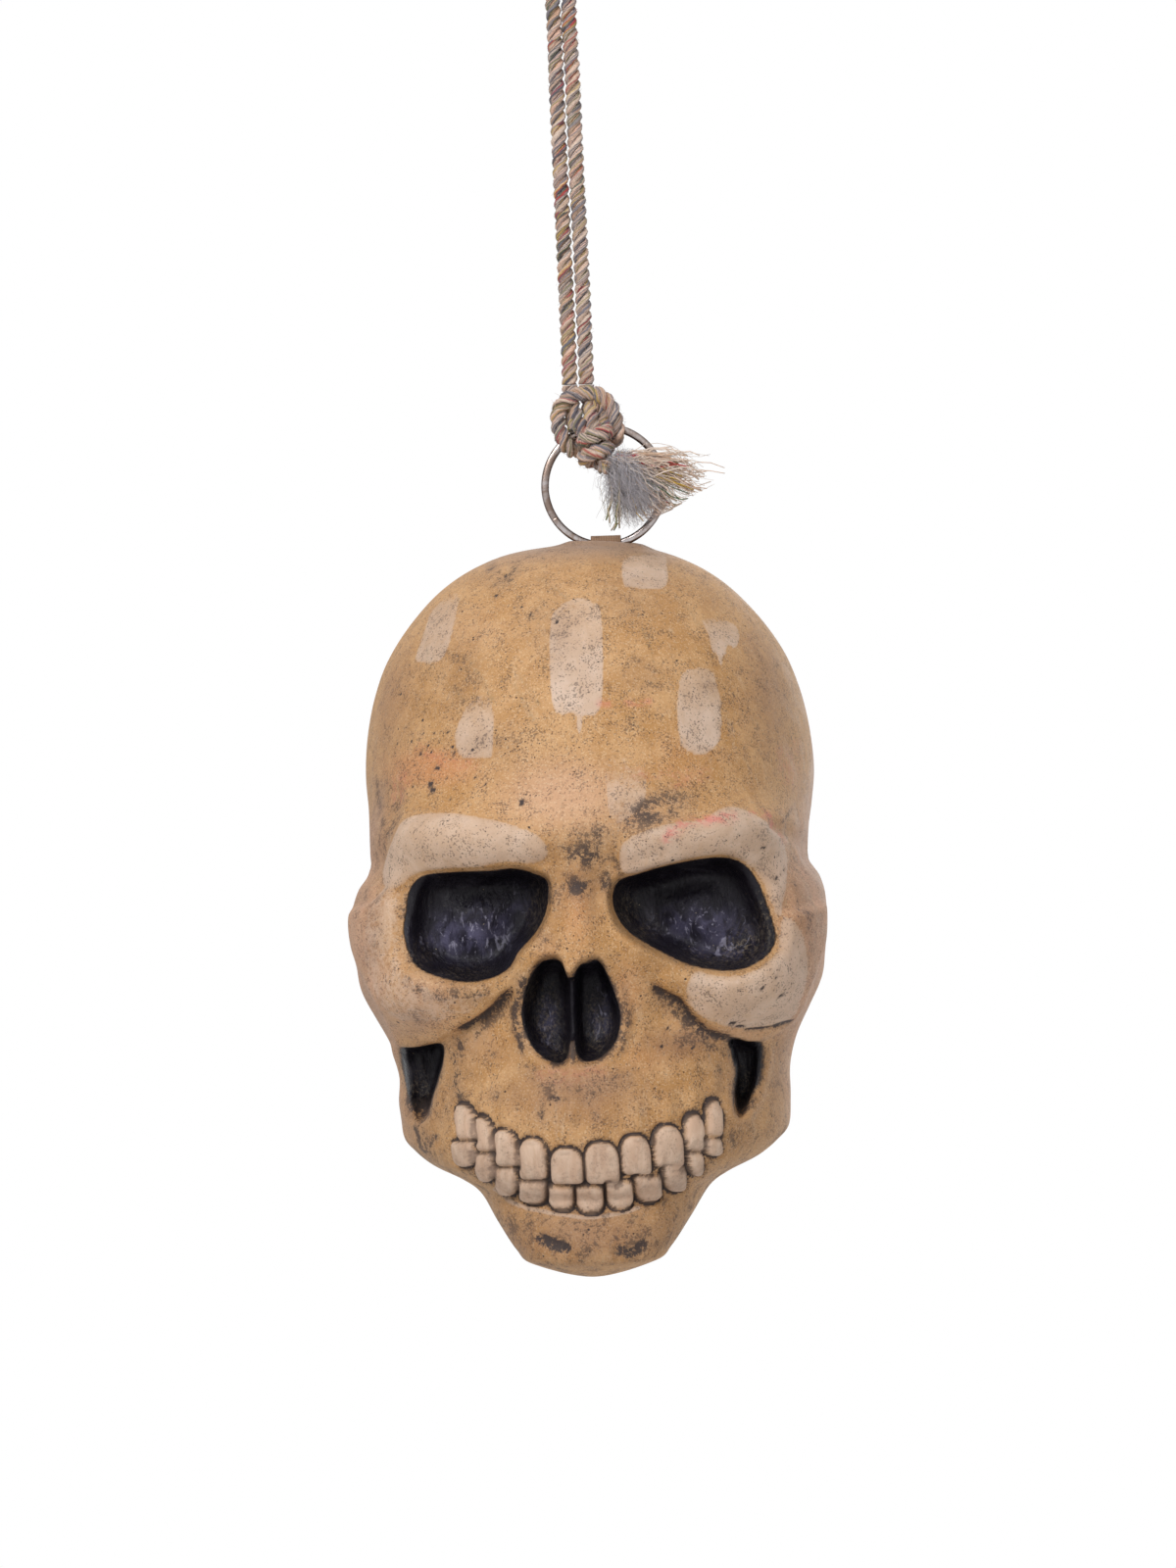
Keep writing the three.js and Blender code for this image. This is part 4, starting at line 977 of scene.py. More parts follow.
def skin_colour(look, cloud, grain, fine, streak, drift):
    """The skin's ochre with its pink sides, warm and shaded patches and dry-brushed whites."""
    def tone(name, reach=0.5):
        return look.ramp(look.painted(name) + (drift - 0.5) * reach, 0.1, 0.9)

    clouded = look.ramp(cloud, 0.36, 0.66)
    base = look.mix(clouded, lin(182, 134, 80), lin(203, 158, 110))
    side = look.mix(clouded, lin(168, 124, 90), lin(196, 152, 124))
    broad = look.noise(28, 4, 0.5, 0.4, seed=1.0)
    base = look.mix(look.ramp(look.painted("pink") + (broad - 0.5) * 0.9, 0.2, 0.9), base, side)
    for factor, colour in (
        (tone("warm") * 0.6, lin(206, 138, 92)),
        (tone("rosy") * 0.55, lin(212, 168, 140)),
        (look.ramp(streak, 0.55, 0.78, 0.0, 0.4), lin(214, 186, 156)),
        (look.ramp(grain, 0.34, 0.50, 0.6, 0.0), lin(140, 100, 66)),
        (look.ramp(fine, 0.52, 0.64, 0.0, 0.45), lin(228, 200, 164)),
        # Painted shade patches
        (tone("shade", 0.7) * 0.5, lin(136, 96, 72)),
        (look.painted("crown") * 0.75, lin(158, 130, 112)),
    ):
        base = look.mix(factor, base, colour)

    thick = look.painted("white")
    edge = thick + (grain - 0.5) * 0.9 + (streak - 0.5) * 0.6
    white = look.ramp(edge, 0.22, 0.42) * look.ramp(streak, 0.26, 0.5, 0.7, 1.0) * (0.25 + thick * 0.65)
    pale = look.mix(look.ramp(cloud, 0.4, 0.65), lin(204, 176, 154), lin(216, 192, 174))
    base = look.mix(white, base, pale)
    tooth = look.mix(look.ramp(streak, 0.35, 0.7), lin(204, 170, 144), lin(222, 194, 170))
    base = look.mix(look.painted("enamel"), base, tooth)
    smear = look.noise(420, 5, 0.7, 1.2, stretch=(0.45, 1.0, 1.0), seed=6.0)
    red = look.painted("red") * look.ramp(smear, 0.44, 0.60)
    base = look.mix(red * 0.75, base, lin(212, 112, 104))
    scratch = look.painted("scratch") * look.ramp(grain, 0.42, 0.60)
    return look.mix(scratch * 0.75, base, lin(116, 112, 92)), white


def skin_dirt_and_shade(look, cloud, streak, drift, crumbs):
    """The dark wash in the creases, partly painted shade, with smudges, strays, specks, pits and hairlines.
    """
    wash_and_shade = look.painted("wash_and_shade")
    low = 0.68 - wash_and_shade * 0.24
    # The wash's broken dark, partly dark paint and partly painted shade
    wash_and_shade_smudge = look.ramp(crumbs * 0.62 + drift * 0.48, low, low + 0.05)
    wash_and_shade_smudge = wash_and_shade_smudge * look.ramp(wash_and_shade, 0.02, 0.2) * look.ramp(wash_and_shade, 0.4, 0.9, 0.62, 1.0)
    soft = wash_and_shade * look.ramp(drift, 0.3, 0.6, 0.25, 0.6)
    stray = look.ramp(look.noise(150, 9, 0.85, 0.4, seed=8.0), 0.66, 0.71, 0.0, 0.75)
    specks = look.ramp(look.noise(1700, 2, 0.5, seed=16.0) + (drift - 0.5) * 0.8, 0.57, 0.66, 0.0, 0.55)
    dots = look.most(look.dots(300, 0.42, 0.16, 3.0), look.dots(110, 0.70, 0.06, 5.0))
    dots = look.most(
        dots * look.ramp(cloud + wash_and_shade * 0.3, 0.38, 0.56),
        look.dots(700, 0.27, 0.34, 7.0) * look.ramp(drift, 0.36, 0.56),
        look.dots(300, 0.62, 0.5, 21.0) * look.ramp(look.painted("pits"), 0.2, 0.5),
    )
    hairline = look.noise(85, 3, 0.4, 2.6, stretch=(1.0, 1.0, 0.5), seed=9.0)
    hairline = look.ramp(abs(hairline - 0.5), 0.0, 0.0045, 0.5, 0.0) * look.ramp(streak, 0.54, 0.62)
    dark = look.most(wash_and_shade_smudge, stray, dots, hairline, specks)
    return soft, dark * (1.0 - look.painted("enamel") * 0.7), dots, hairline, specks


def socket_black(look, fine, crumbs):
    """The glossy black of the hollows, with its painted highlights and glints, flecks and dust."""
    dusty = look.ramp(look.noise(70, 6, 0.7, 0.8, seed=12.0), 0.5, 0.68)
    glints = look.noise(150, 4, 0.55, 1.4, stretch=(1.0, 1.0, 0.6), seed=18.0)
    creases = look.noise(330, 4, 0.55, 2.4, stretch=(1.0, 1.0, 0.5), seed=19.0)
    flecks = look.most(look.dots(420, 0.22, 0.18, 11.0), look.ramp(fine, 0.66, 0.72, 0.0, 0.5))
    painted_highlight = look.painted("painted_highlight")
    black = lin(20, 17, 24)
    for factor, colour in (
        (dusty * 0.12, lin(104, 100, 110)),
        # Painted highlights: broad bluish glints and bright streaks where the black would catch the light
        (painted_highlight * look.ramp(glints, 0.42, 0.62, 0.15, 1.0) * 0.7, lin(112, 108, 138)),
        (painted_highlight * look.ramp(creases, 0.56, 0.66) * 0.75, lin(186, 182, 204)),
        (look.painted("dust") * look.ramp(crumbs, 0.48, 0.62) * 0.7, lin(128, 114, 96)),
        (flecks * 0.55, lin(170, 154, 130)),
    ):
        black = look.mix(factor, black, colour)
    return black


def latex_look():
    """Painted latex: the skin's colours, the dirt and painted shade in them and the black of the hollows with
    its painted highlights.
    """
    look = material("painted_latex")
    cloud = look.noise(95, 7, 0.62, 0.6, seed=2.0)
    grain = look.noise(700, 6, 0.75, seed=3.0)
    fine = look.noise(1900, 3, 0.6, seed=4.0)
    streak = look.noise(260, 5, 0.65, 0.8, stretch=(1.0, 1.0, 0.28), seed=5.0)
    drift = look.noise(170, 6, 0.72, 0.5, seed=17.0)
    crumbs = look.noise(900, 5, 0.82, 0.3, seed=7.0)
    base, white = skin_colour(look, cloud, grain, fine, streak, drift)
    soft, dark, dots, hairline, specks = skin_dirt_and_shade(look, cloud, streak, drift, crumbs)
    # A soft dark wash, partly painted shade in the creases and hollows, then the broken dark of the wash,
    # specks, dots and hairlines
    base = look.mix(soft, base, lin(124, 98, 82))
    base = look.mix(dark * 0.92, base, lin(46, 40, 43))
    ink = look.ramp(look.painted("ink") + (grain - 0.5) * 0.5, 0.32, 0.58)

    rough = look.ramp(cloud, 0.3, 0.7, 0.50, 0.68) + dark * 0.12
    gloss = look.ramp(look.noise(340, 6, 0.7, 1.6, seed=13.0), 0.3, 0.7, 0.26, 0.50)
    relief = grain * 0.7 - dots * 0.9 + white * 0.25 - hairline * 0.5 - specks * 0.4
    normal = look.bump(relief, 0.20)
    normal = look.bump(look.noise(75, 5, 0.6, 0.3, seed=14.0), 1.1, 0.55, normal)
    wrinkle = look.noise(190, 5, 0.6, 1.4, stretch=(1.0, 1.0, 0.35), seed=15.0)
    normal = look.bump(wrinkle * ink, 1.6, 0.8, normal)
    return look.end(Base_Color=look.mix(ink, base, socket_black(look, fine, crumbs)),
                    Roughness=look.mix(ink, rough, gloss), Normal=normal,
                    Specular_IOR_Level=0.36 - ink * 0.20)


def foam_look():
    look = material("foam")
    bubbles, _ = look.cells(900)
    colour = look.mix(look.noise(40), lin(222, 208, 170), lin(240, 230, 200))
    colour = look.mix(look.ramp(bubbles, 0.2, 0.7, 0.0, 0.4), colour, lin(196, 178, 138))
    return look.end(Base_Color=colour, Roughness=0.95, Normal=look.bump(bubbles, 0.4))


def plug_look():
    look = material("plug_rubber")
    grain = look.noise(500, 6, 0.6)
    colour = look.mix(look.ramp(look.noise(90, 6), 0.35, 0.65), lin(168, 128, 88), lin(190, 152, 112))
    colour = look.mix(look.ramp(grain, 0.56, 0.66, 0.0, 0.5), colour, lin(104, 82, 66))
    return look.end(Base_Color=colour, Roughness=look.ramp(grain, 0.3, 0.7, 0.55, 0.75),
                    Normal=look.bump(grain, 0.2))


def strap_look():
    look = material("strap_webbing")
    across, along = [Value(look, look.node("ShaderNodeTexWave", {
        "Vector": look.where, "Scale": scale, "Distortion": 0.6,
    }, bands_direction=direction).outputs["Fac"]) for direction, scale in (("X", 420), ("Z", 620))]
    cloth = across * along
    colour = look.mix(look.ramp(cloth, 0.05, 0.7, 0.35, 1.0), lin(126, 98, 78), lin(170, 138, 112))
    colour = look.mix(look.ramp(look.noise(240, 6), 0.52, 0.64, 0.0, 0.6), colour, lin(88, 70, 58))
    return look.end(Base_Color=colour, Roughness=0.9, Normal=look.bump(cloth, 0.15),
                    Specular_IOR_Level=0.2)


def zinc_look():
    look = material("zinc_plate")
    _, flakes = look.cells(300)
    scratch = look.noise(900, 4, 0.6, stretch=(0.1, 1.0, 1.0))
    return look.end(Base_Color=look.mix(flakes, lin(176, 180, 184), lin(214, 216, 218)), Metallic=1.0,
                    Roughness=look.ramp(scratch, 0.3, 0.7, 0.3, 0.5))


def steel_look():
    look = material("ring_steel")
    tarnish = look.noise(160, 7, 0.65, 1.0, seed=1.0)
    scratch = look.noise(700, 5, 0.7, stretch=(1.0, 0.15, 1.0), seed=2.0)
    colour = look.mix(look.ramp(tarnish, 0.36, 0.62), lin(196, 190, 190), lin(142, 124, 114))
    colour = look.mix(look.ramp(scratch, 0.60, 0.72, 0.0, 0.2), colour, lin(96, 78, 66))
    # Painted shade and reflection: the wire's inner side and outer edge darkened to brown
    colour = look.mix(look.painted("painted_wire_shade"), colour, lin(70, 52, 44))
    return look.end(Base_Color=colour, Metallic=1.0, Normal=look.bump(scratch, 0.012),
                    Roughness=look.ramp(tarnish, 0.3, 0.7, 0.12, 0.26))


def yarn_look(name, shine):
    look = material(name)
    fibre = look.noise(2600, 5, 0.75, 0.6, seed=1.0)
    yarn = look.painted("yarn", "Color")
    return look.end(Base_Color=look.mix(look.ramp(fibre, 0.32, 0.60, 0.62, 1.0), lin(30, 24, 24), yarn),
                    Roughness=0.82, Normal=look.bump(fibre, 0.12),
                    Sheen_Weight=shine, Sheen_Roughness=0.5)


# Colours of the rope's yarns, and how many parts of each there are
YARNS = [
    (10, (208, 178, 158)), (9, (226, 202, 184)), (7, (152, 142, 142)), (8, (116, 112, 122)),
    (4, (184, 146, 116)), (3, (150, 138, 84)), (2, (88, 100, 66)), (2, (214, 178, 104)),
    (2, (176, 58, 60)), (5, (232, 190, 168)), (3, (78, 70, 70)),
]
YARN_POOL = np.array([lin(*rgb)[:3] for parts, rgb in YARNS for _ in range(parts)])
# Sides of a strand, its patches of yarn, and how many millimetres each patch shows before the
# next and runs along before it moves a side round
STRAND_SIDES = 14
YARN_PATCHES = 12
YARN_SHOWS = 26
YARN_SLANT = 2.6


def between(a, b, low, high, t):
    """The value at t on the straight line that is a at low and b at high."""
    return (high - t) / (high - low) * a + (t - low) / (high - low) * b


def smooth_line(route, step):
    """Evenly spaced points on a smooth line through a route, and its length."""
    pts = np.array(route, float)
    ends = np.vstack([2 * pts[0] - pts[1], pts, 2 * pts[-1] - pts[-2]])
    out = []
    for i in range(len(pts) - 1):
        p = ends[i:i + 4]
        knots = np.cumsum(np.append(0, np.sqrt(np.linalg.norm(np.diff(p, axis=0), axis=1))))
        for t in np.linspace(knots[1], knots[2], 24, endpoint=False):
            a = [between(p[k], p[k + 1], knots[k], knots[k + 1], t) for k in range(3)]
            b = [between(a[k], a[k + 1], knots[k], knots[k + 2], t) for k in range(2)]
            out.append(between(b[0], b[1], knots[1], knots[2], t))
    out = np.array([*out, pts[-1]])
    length = np.append(0, np.cumsum(np.linalg.norm(np.diff(out, axis=0), axis=1)))
    places = np.linspace(0, length[-1], max(int(length[-1] / step), 8) + 1)
    return np.stack([np.interp(places, length, out[:, k]) for k in range(3)], axis=1), length[-1]


def frames_along(points):
    """Unit directions along a line and two across it that don't twist."""
    ahead = np.gradient(points, axis=0)
    ahead /= np.linalg.norm(ahead, axis=1, keepdims=True)
    across = np.zeros_like(points)
    start = np.cross(ahead[0], [0.3, 1.0, 0.2])
    across[0] = start / np.linalg.norm(start)
    for i in range(1, len(points)):
        nearly = across[i - 1] - ahead[i] * (across[i - 1] @ ahead[i])
        across[i] = nearly / np.linalg.norm(nearly)
    return ahead, across, np.cross(ahead, across)


def laid_rope(line):
    """A rope of three twisted strands along a line: points, faces and the colour of each point."""
    radius = ROPE_RADIUS * (1.1 - 0.1 * smooth(line[:, 2], 120, 150))
    _, across, over = frames_along(line)
    walked = np.append(0, np.cumsum(np.linalg.norm(np.diff(line, axis=0), axis=1)))
    sides = STRAND_SIDES
    around = np.arange(sides) / sides * 2 * math.pi
    patch = (walked / YARN_SHOWS).astype(int) % YARN_PATCHES
    drift = (np.arange(sides)[None, :] + (walked / YARN_SLANT).astype(int)[:, None]) % sides
    index = np.arange(3 * len(line) * sides).reshape(3, 1, len(line), sides)
    points, faces, colours = [], [], []
    for strand in range(3):
        turn = strand * 2 * math.pi / 3 + walked * 2 * math.pi / ROPE_LAY
        aside = 0.50 * radius[:, None]
        centre = line + aside * np.cos(turn)[:, None] * across + aside * np.sin(turn)[:, None] * over
        yarn = rng.integers(0, len(YARN_POOL), (YARN_PATCHES, sides))
        swell = 1 + 0.05 * rng.standard_normal((len(line), sides))
        slope = around[None, :] + turn[:, None]
        outward = np.cos(slope)[..., None] * across[:, None] + np.sin(slope)[..., None] * over[:, None]
        surface = centre[:, None] + outward * (0.53 * radius[:, None] * swell)[..., None]
        points.append(surface.reshape(-1, 3))
        colours.append(YARN_POOL[yarn[patch[:, None], drift]].reshape(-1, 3))
        faces += tube_faces(index[strand])
    return np.vstack(points), faces, np.vstack(colours)


def fibre_tubes(curves, radii, colours, sides=3):
    """Thin tubes along many short curves of the same number of points."""
    count, steps, _ = curves.shape
    ahead = np.gradient(curves, axis=1)
    ahead /= np.linalg.norm(ahead, axis=2, keepdims=True) + 1e-9
    across = np.cross(ahead, np.array([0.31, 0.87, 0.38]))
    across /= np.linalg.norm(across, axis=2, keepdims=True) + 1e-9
    over = np.cross(ahead, across)
    taper = np.linspace(1.0, 0.55, steps)[None, :, None, None]
    turn = np.arange(sides) / sides * 2 * math.pi
    ring = (across[:, :, None] * np.cos(turn)[None, None, :, None]
            + over[:, :, None] * np.sin(turn)[None, None, :, None])
    points = curves[:, :, None] + ring * taper * np.asarray(radii)[:, None, None, None]
    faces = tube_faces(np.arange(count * steps * sides).reshape(count, steps, sides))
    return points.reshape(-1, 3), faces, np.repeat(np.asarray(colours), steps * sides, axis=0)


def fuzz(line, count, reach):
    """Loose fibre ends standing off a rope's surface."""
    ahead, across, over = frames_along(line)
    at = rng.integers(2, len(line) - 2, count)
    turn = rng.uniform(0, 2 * math.pi, count)
    out = across[at] * np.cos(turn)[:, None] + over[at] * np.sin(turn)[:, None]
    side = across[at] * -np.sin(turn)[:, None] + over[at] * np.cos(turn)[:, None]
    length = rng.uniform(1.2, 4.2, count)[:, None]
    lean = rng.uniform(-1, 1, count)[:, None]
    swing = rng.uniform(-0.6, 0.6, count)[:, None]
    lift = rng.uniform(0.15, 1.0, count)[:, None] ** 2 * reach
    curves = np.stack([
        line[at] + out * (ROPE_RADIUS * 0.86 + lift * t * t)
        + ahead[at] * lean * length * t + side * swing * length * t * t
        for t in np.linspace(0, 1, 6)
    ], axis=1)
    radii = rng.uniform(0.035, 0.075, count)
    return fibre_tubes(curves, radii, YARN_POOL[rng.integers(0, len(YARN_POOL), count)])


def yarn_mesh(name, parts):
    """One mesh of some parts, each given as its points, faces and colours."""
    points, faces, colours = [], [], []
    total = 0
    for part_points, part_faces, part_colours in parts:
        points.append(part_points)
        faces += [tuple(total + i for i in face) for face in part_faces]
        colours.append(part_colours)
        total += len(part_points)
    obj = make_mesh(name, np.vstack(points), faces, rope_origin)
    paint_colour(obj, "yarn", np.vstack(colours))
    return obj


def rope_piece(name, lines, wool, fibres, reach):
    """A rope piece along one or more lines, with its loose fibres."""
    parts = []
    for line in lines:
        parts.append(laid_rope(line))
        parts.append(fuzz(line, int(fibres * len(line)), reach))
    obj = yarn_mesh(name, parts)
    obj.data.materials.append(wool)
    return obj


# The rope's routes in millimetres from the middle of the wire under the hitch
LOOP_ROUTE = [
    (-4.5, 0, 13.8), (-4.5, 0, 20), (-4.8, 0, 45), (-5.3, 0, 75), (-5.7, 0, 105), (-6.0, 0, 128),
    (-7.0, 0, 136), (-10.6, 0, 144), (-12.8, 0, 152), (-12.2, 0, 159), (-8.6, 0, 164), (-3.8, 0, 165.6),
    (1.0, 0, 164), (4.6, 0, 159), (5.2, 0, 152), (3.0, 0, 144), (-0.4, 0, 136), (-1.2, 0, 128),
    (-0.8, 0, 105), (-0.4, 0, 75), (0.2, 0, 45), (0.5, 0, 20), (0.5, 0, 13.8),
]
LEFT_STANDING_ROUTE = [(-4.5, 0, 13.5), (-4.5, 0.1, 11.5), (-4.7, 1.5, 7.5)]
RIGHT_STANDING_ROUTE = [(0.7, 1.7, 8.2), (0.5, 0.1, 11.5), (0.5, 0, 13.5)]
LEAD_ROUTES = [
    [(-4.4, -1.0, 9.6), (-3.6, -2.9, 6.4), (-2.4, -3.9, 3.0), (-1.0, -5.4, -0.6), (0.8, -7.2, -3.6)],
    [(1.6, -1.2, 9.4), (1.7, -2.8, 6.2), (1.8, -3.9, 3.0), (2.6, -5.2, -0.4), (3.8, -7.0, -3.2)],
    [(-4.5, -0.6, 10.0), (-4.4, -1.2, 6.6), (-3.9, -2.2, 3.4), (-3.0, -4.2, 0.0)],
    [(1.8, -1.8, 9.2), (4.6, -2.6, 7.2), (5.9, -2.9, 4.6), (5.9, -3.9, 1.4), (4.8, -5.4, -1.4)],
]
HITCH_ROUTE = [
    (-2.5, 4.1, 3.0), (-2.6, 4.4, 0.0), (-3.2, 3.4, -3.2), (-4.9, 0.2, -4.9), (-6.7, -3.3, -3.9),
    (-7.5, -4.6, -0.2), (-7.3, -4.6, 4.2), (-5.8, -4.8, 8.0), (-2.4, -4.8, 10.2), (2.4, -4.8, 10.4),
    (6.6, -4.5, 8.8), (9.0, -4.6, 5.0), (9.4, -4.6, 0.2), (8.4, -3.5, -4.6), (6.0, 0.2, -5.6),
    (3.6, 3.5, -3.5), (2.6, 4.5, 0.0), (2.5, 4.1, 3.0),
]
TAIL_ROUTE = [
    (9.7, -9.85, -10.4), (13.6, -10.8, -13.2), (17.6, -11.6, -15.8), (22.0, -12.2, -18.0),
    (26.5, -12.6, -19.8),
]
STOPPER_CENTRE = (2.95, -8.55, -6.4)
STOPPER_RADIUS = 3.5
STOPPER_TURNS = 2.35
STOPPER_RISE = 5.05

# The crown under the frayed end with the ring at its limit: its level, its slope to the right
# and where that starts
CROWN_LEVEL = -31.4
CROWN_SLOPE = 0.52
CROWN_START = 13.5
# Where the frayed yarns end, in the same frame
WOOL_ENDS = [
    (11, -11, -21), (15, -12, -25), (19, -12, -25), (16, -12, -19), (21, -12, -23), (12, -11, -17),
    (18, -12, -21), (14, -12, -28),
]
PALE_ENDS = [
    (30, -12, -13), (33, -12, -17), (29, -11, -20), (31, -12, -11), (27, -13, -25), (24, -12, -26.5),
    (32, -11, -20), (22, -12, -26), (25, -12, -14),
]
LOW_ENDS = [(8, -10, -29), (10, -11, -27), (6, -10, -25)]
GREEN_ENDS = [(31, -13, -17), (27, -13, -23), (30, -13, -12)]
RED_ENDS = [(25, -14, -26), (29, -13, -12)]
YELLOW_ENDS = [(31, -13, -21), (18, -13, -27), (28, -13, -18)]
OLIVE_ENDS = [(5.5, -11, -33), (6.8, -11, -30), (8.5, -12, -31)]

# Each kind of yarn in the fray: how many, their ends, spread, sag, curl and wander, the least and
# the greatest radius, and their colours
FRAYED_YARNS = [
    (1300, WOOL_ENDS, 2.2, 0.6, 4.2, 1.1, 0.035, 0.07, [(196, 190, 196), (178, 172, 178), (214, 206, 208)]),
    (170, PALE_ENDS, 2.6, 2.2, 2.2, 0.8, 0.08, 0.16, [(232, 206, 184), (216, 186, 162), (240, 222, 206)]),
    (80, PALE_ENDS, 2.4, 2.4, 2.0, 0.75, 0.22, 0.36, [(232, 202, 180), (220, 190, 168), (240, 220, 204)]),
    (60, LOW_ENDS, 1.3, -1.0, 2.2, 0.5, 0.06, 0.12, [(168, 162, 160), (140, 130, 92), (206, 186, 164)]),
    (12, PALE_ENDS, 1.4, 2.6, 1.4, 0.3, 0.36, 0.48, [(224, 188, 158), (230, 206, 184)]),
    (7, GREEN_ENDS, 1.4, 2.0, 1.4, 0.35, 0.26, 0.36, [(98, 108, 66), (78, 98, 62)]),
    (4, RED_ENDS, 1.0, 1.5, 1.2, 0.35, 0.30, 0.42, [(196, 50, 50)]),
    (6, YELLOW_ENDS, 1.2, 1.0, 1.4, 0.35, 0.28, 0.38, [(206, 168, 66)]),
    (6, OLIVE_ENDS, 0.8, 1.5, 2.0, 0.6, 0.38, 0.5, [(166, 142, 60), (112, 114, 62), (196, 178, 150)]),
]


def hitch_lines():
    """The turns round the ring, tilted with the ring's wire, and the strands that lead off them."""
    c, s = math.cos(-hitch_turn), math.sin(-hitch_turn)
    turned = [(x * c + z * s, y, z * c - x * s) for x, y, z in HITCH_ROUTE]
    routes = [[*LEFT_STANDING_ROUTE, *turned, *RIGHT_STANDING_ROUTE], *LEAD_ROUTES]
    return [smooth_line(route, KNOT_STEP)[0] for route in routes]


def knot_line():
    """The stopper knot's coil."""
    x, y, z = STOPPER_CENTRE
    coil = []
    for step in range(49):
        turns = (step / 48 - 0.5) * STOPPER_TURNS
        turn = turns * 2 * math.pi
        coil.append((x + STOPPER_RADIUS * math.cos(turn), y + STOPPER_RADIUS * math.sin(turn),
                     z + turns * STOPPER_RISE))
    return smooth_line(coil, KNOT_STEP)[0]


def make_rope():
    """The loop, the hitch, the knot and the frayed end, which are one cord."""
    wool = yarn_look("rope_yarn", shine=0.25)
    loop_line, loop_length = smooth_line(LOOP_ROUTE, ROPE_STEP)
    loop = rope_piece("twisted_rope_loop", [loop_line], wool, fibres=0.9, reach=0.9)
    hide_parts("rope_loop")
    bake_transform(loop)

    hitch = rope_piece("twisted_ring_hitch", hitch_lines(), wool, fibres=1.8, reach=1.3)
    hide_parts("ring_hitch")
    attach(hitch, "knot")

    knot = rope_piece("twisted_stopper_knot", [knot_line()], wool, fibres=2.6, reach=1.6)
    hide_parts("stopper_knot")
    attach(knot, "knot")

    make_tail()


def fan(count, ends, spread, sag, curl, wander):
    """Curves from the end of the knot out to places spread about given ends.

    They stay above the crown as it stands when the ring is turned to its limit.
    """
    origin = np.array(TAIL_ROUTE[0])
    pick = rng.integers(0, len(ends), count)
    finish = np.array(ends)[pick] + rng.standard_normal((count, 3)) * spread
    begin = origin + rng.standard_normal((count, 3)) * [1.0, 1.1, 1.2]
    middle = (begin + finish) / 2 + rng.standard_normal((count, 3)) * curl + [0, 0, sag]
    strayed = np.zeros((count, 3))
    out = []
    for t in np.linspace(0, 1, 9):
        out.append((1 - t) ** 2 * begin + 2 * t * (1 - t) * middle + t * t * finish + strayed)
        strayed = strayed * 0.8 + rng.standard_normal((count, 3)) * wander
    out = np.stack(out, axis=1)
    lowest = CROWN_LEVEL + CROWN_SLOPE * np.maximum(out[..., 0] - CROWN_START, 0)
    out[..., 2] = lowest + 1.2 * np.logaddexp(0, (out[..., 2] - lowest) / 1.2)
    return out


def make_tail():
    """The frayed end of the rope: a grey woolly mass, a fan of pale yarns and a few coloured ones."""
    fans = [fan(*row[:6]) for row in FRAYED_YARNS]
    parts = []
    for curves, (*_, thin, thick, tones) in zip(fans, FRAYED_YARNS):
        count = len(curves)
        tone = np.array([lin(*rgb)[:3] for rgb in tones])[rng.integers(0, len(tones), count)]
        sides = 6 if thick > 0.2 else 3
        parts.append(fibre_tubes(curves, rng.uniform(thin, thick, count), tone, sides))
    obj = yarn_mesh("frayed_rope_end", parts)
    obj.data.materials.append(yarn_look("rope_fray", shine=0.4))
    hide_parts("frayed_tail")
    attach(obj, "knot")
    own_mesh(obj)
    return obj


def flattened(value):
    """A sine or cosine made fuller, for a round that is nearly a rounded box."""
    return math.copysign(abs(value) ** 0.8, value)


def make_ring():
    """The split ring: a flattened wire wound nearly twice round."""
    steps, sides = 420, 16
    sweep = 4 * math.pi - RING_CROSSING
    points, painted_wire_shade = [], []
    for i in range(steps + 1):
        turned = (i / steps - 0.5) * sweep
        angle = RING_START + turned
        shift = max(-1.0, min(1.0, turned / (RING_CROSSING / 2))) * RING_HALF_PITCH
        for k in range(sides):
            turn = k / sides * 2 * math.pi
            c, s = math.cos(turn), math.sin(turn)
            radius = RING_RADIUS + flattened(c) * RING_WIRE_WIDTH / 2
            y = shift + flattened(s) * RING_WIRE_THICKNESS / 2
            points.append((radius * math.cos(angle), y, radius * math.sin(angle)))
            # Painted shade and reflection: darker on the wire's inner side and along its outer edge
            painted_wire_shade.append(max(0.0, min(1.0, (-c - 0.1) * 1.5), min(0.8, (c - 0.45) * 2.0)))
    faces = tube_faces(np.arange(len(points)).reshape(1, steps + 1, sides))
    ring = make_mesh("smooth_split_ring", points, faces, ring_centre)
    paint(ring, "painted_wire_shade", painted_wire_shade)
    ring.data.materials.append(steel_look())
    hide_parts("split_ring")
    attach(ring, "ring")


def neck_rim():
    """The short rim under the head, round the pour hole."""
    sides = 96
    profile = [
        (POUR_RADIUS, NECK_LEVEL + 12), (POUR_RADIUS, NECK_LEVEL + 0.8), (POUR_RADIUS + 0.8, NECK_LEVEL),
        (NECK_RADIUS - 1.4, NECK_LEVEL), (NECK_RADIUS, NECK_LEVEL + 1.4),
        (NECK_RADIUS, NECK_LEVEL + NECK_HEIGHT),
    ]
    points = []
    for radius, level in profile:
        for k in range(sides):
            turn = k / sides * 2 * math.pi
            points.append((radius * math.cos(turn), NECK_SETBACK + radius * math.sin(turn), level))
    index = np.arange(len(points)).reshape(-1, sides)
    return points, [(a, d, c, b) for a, b, c, d in quads_between(index)]


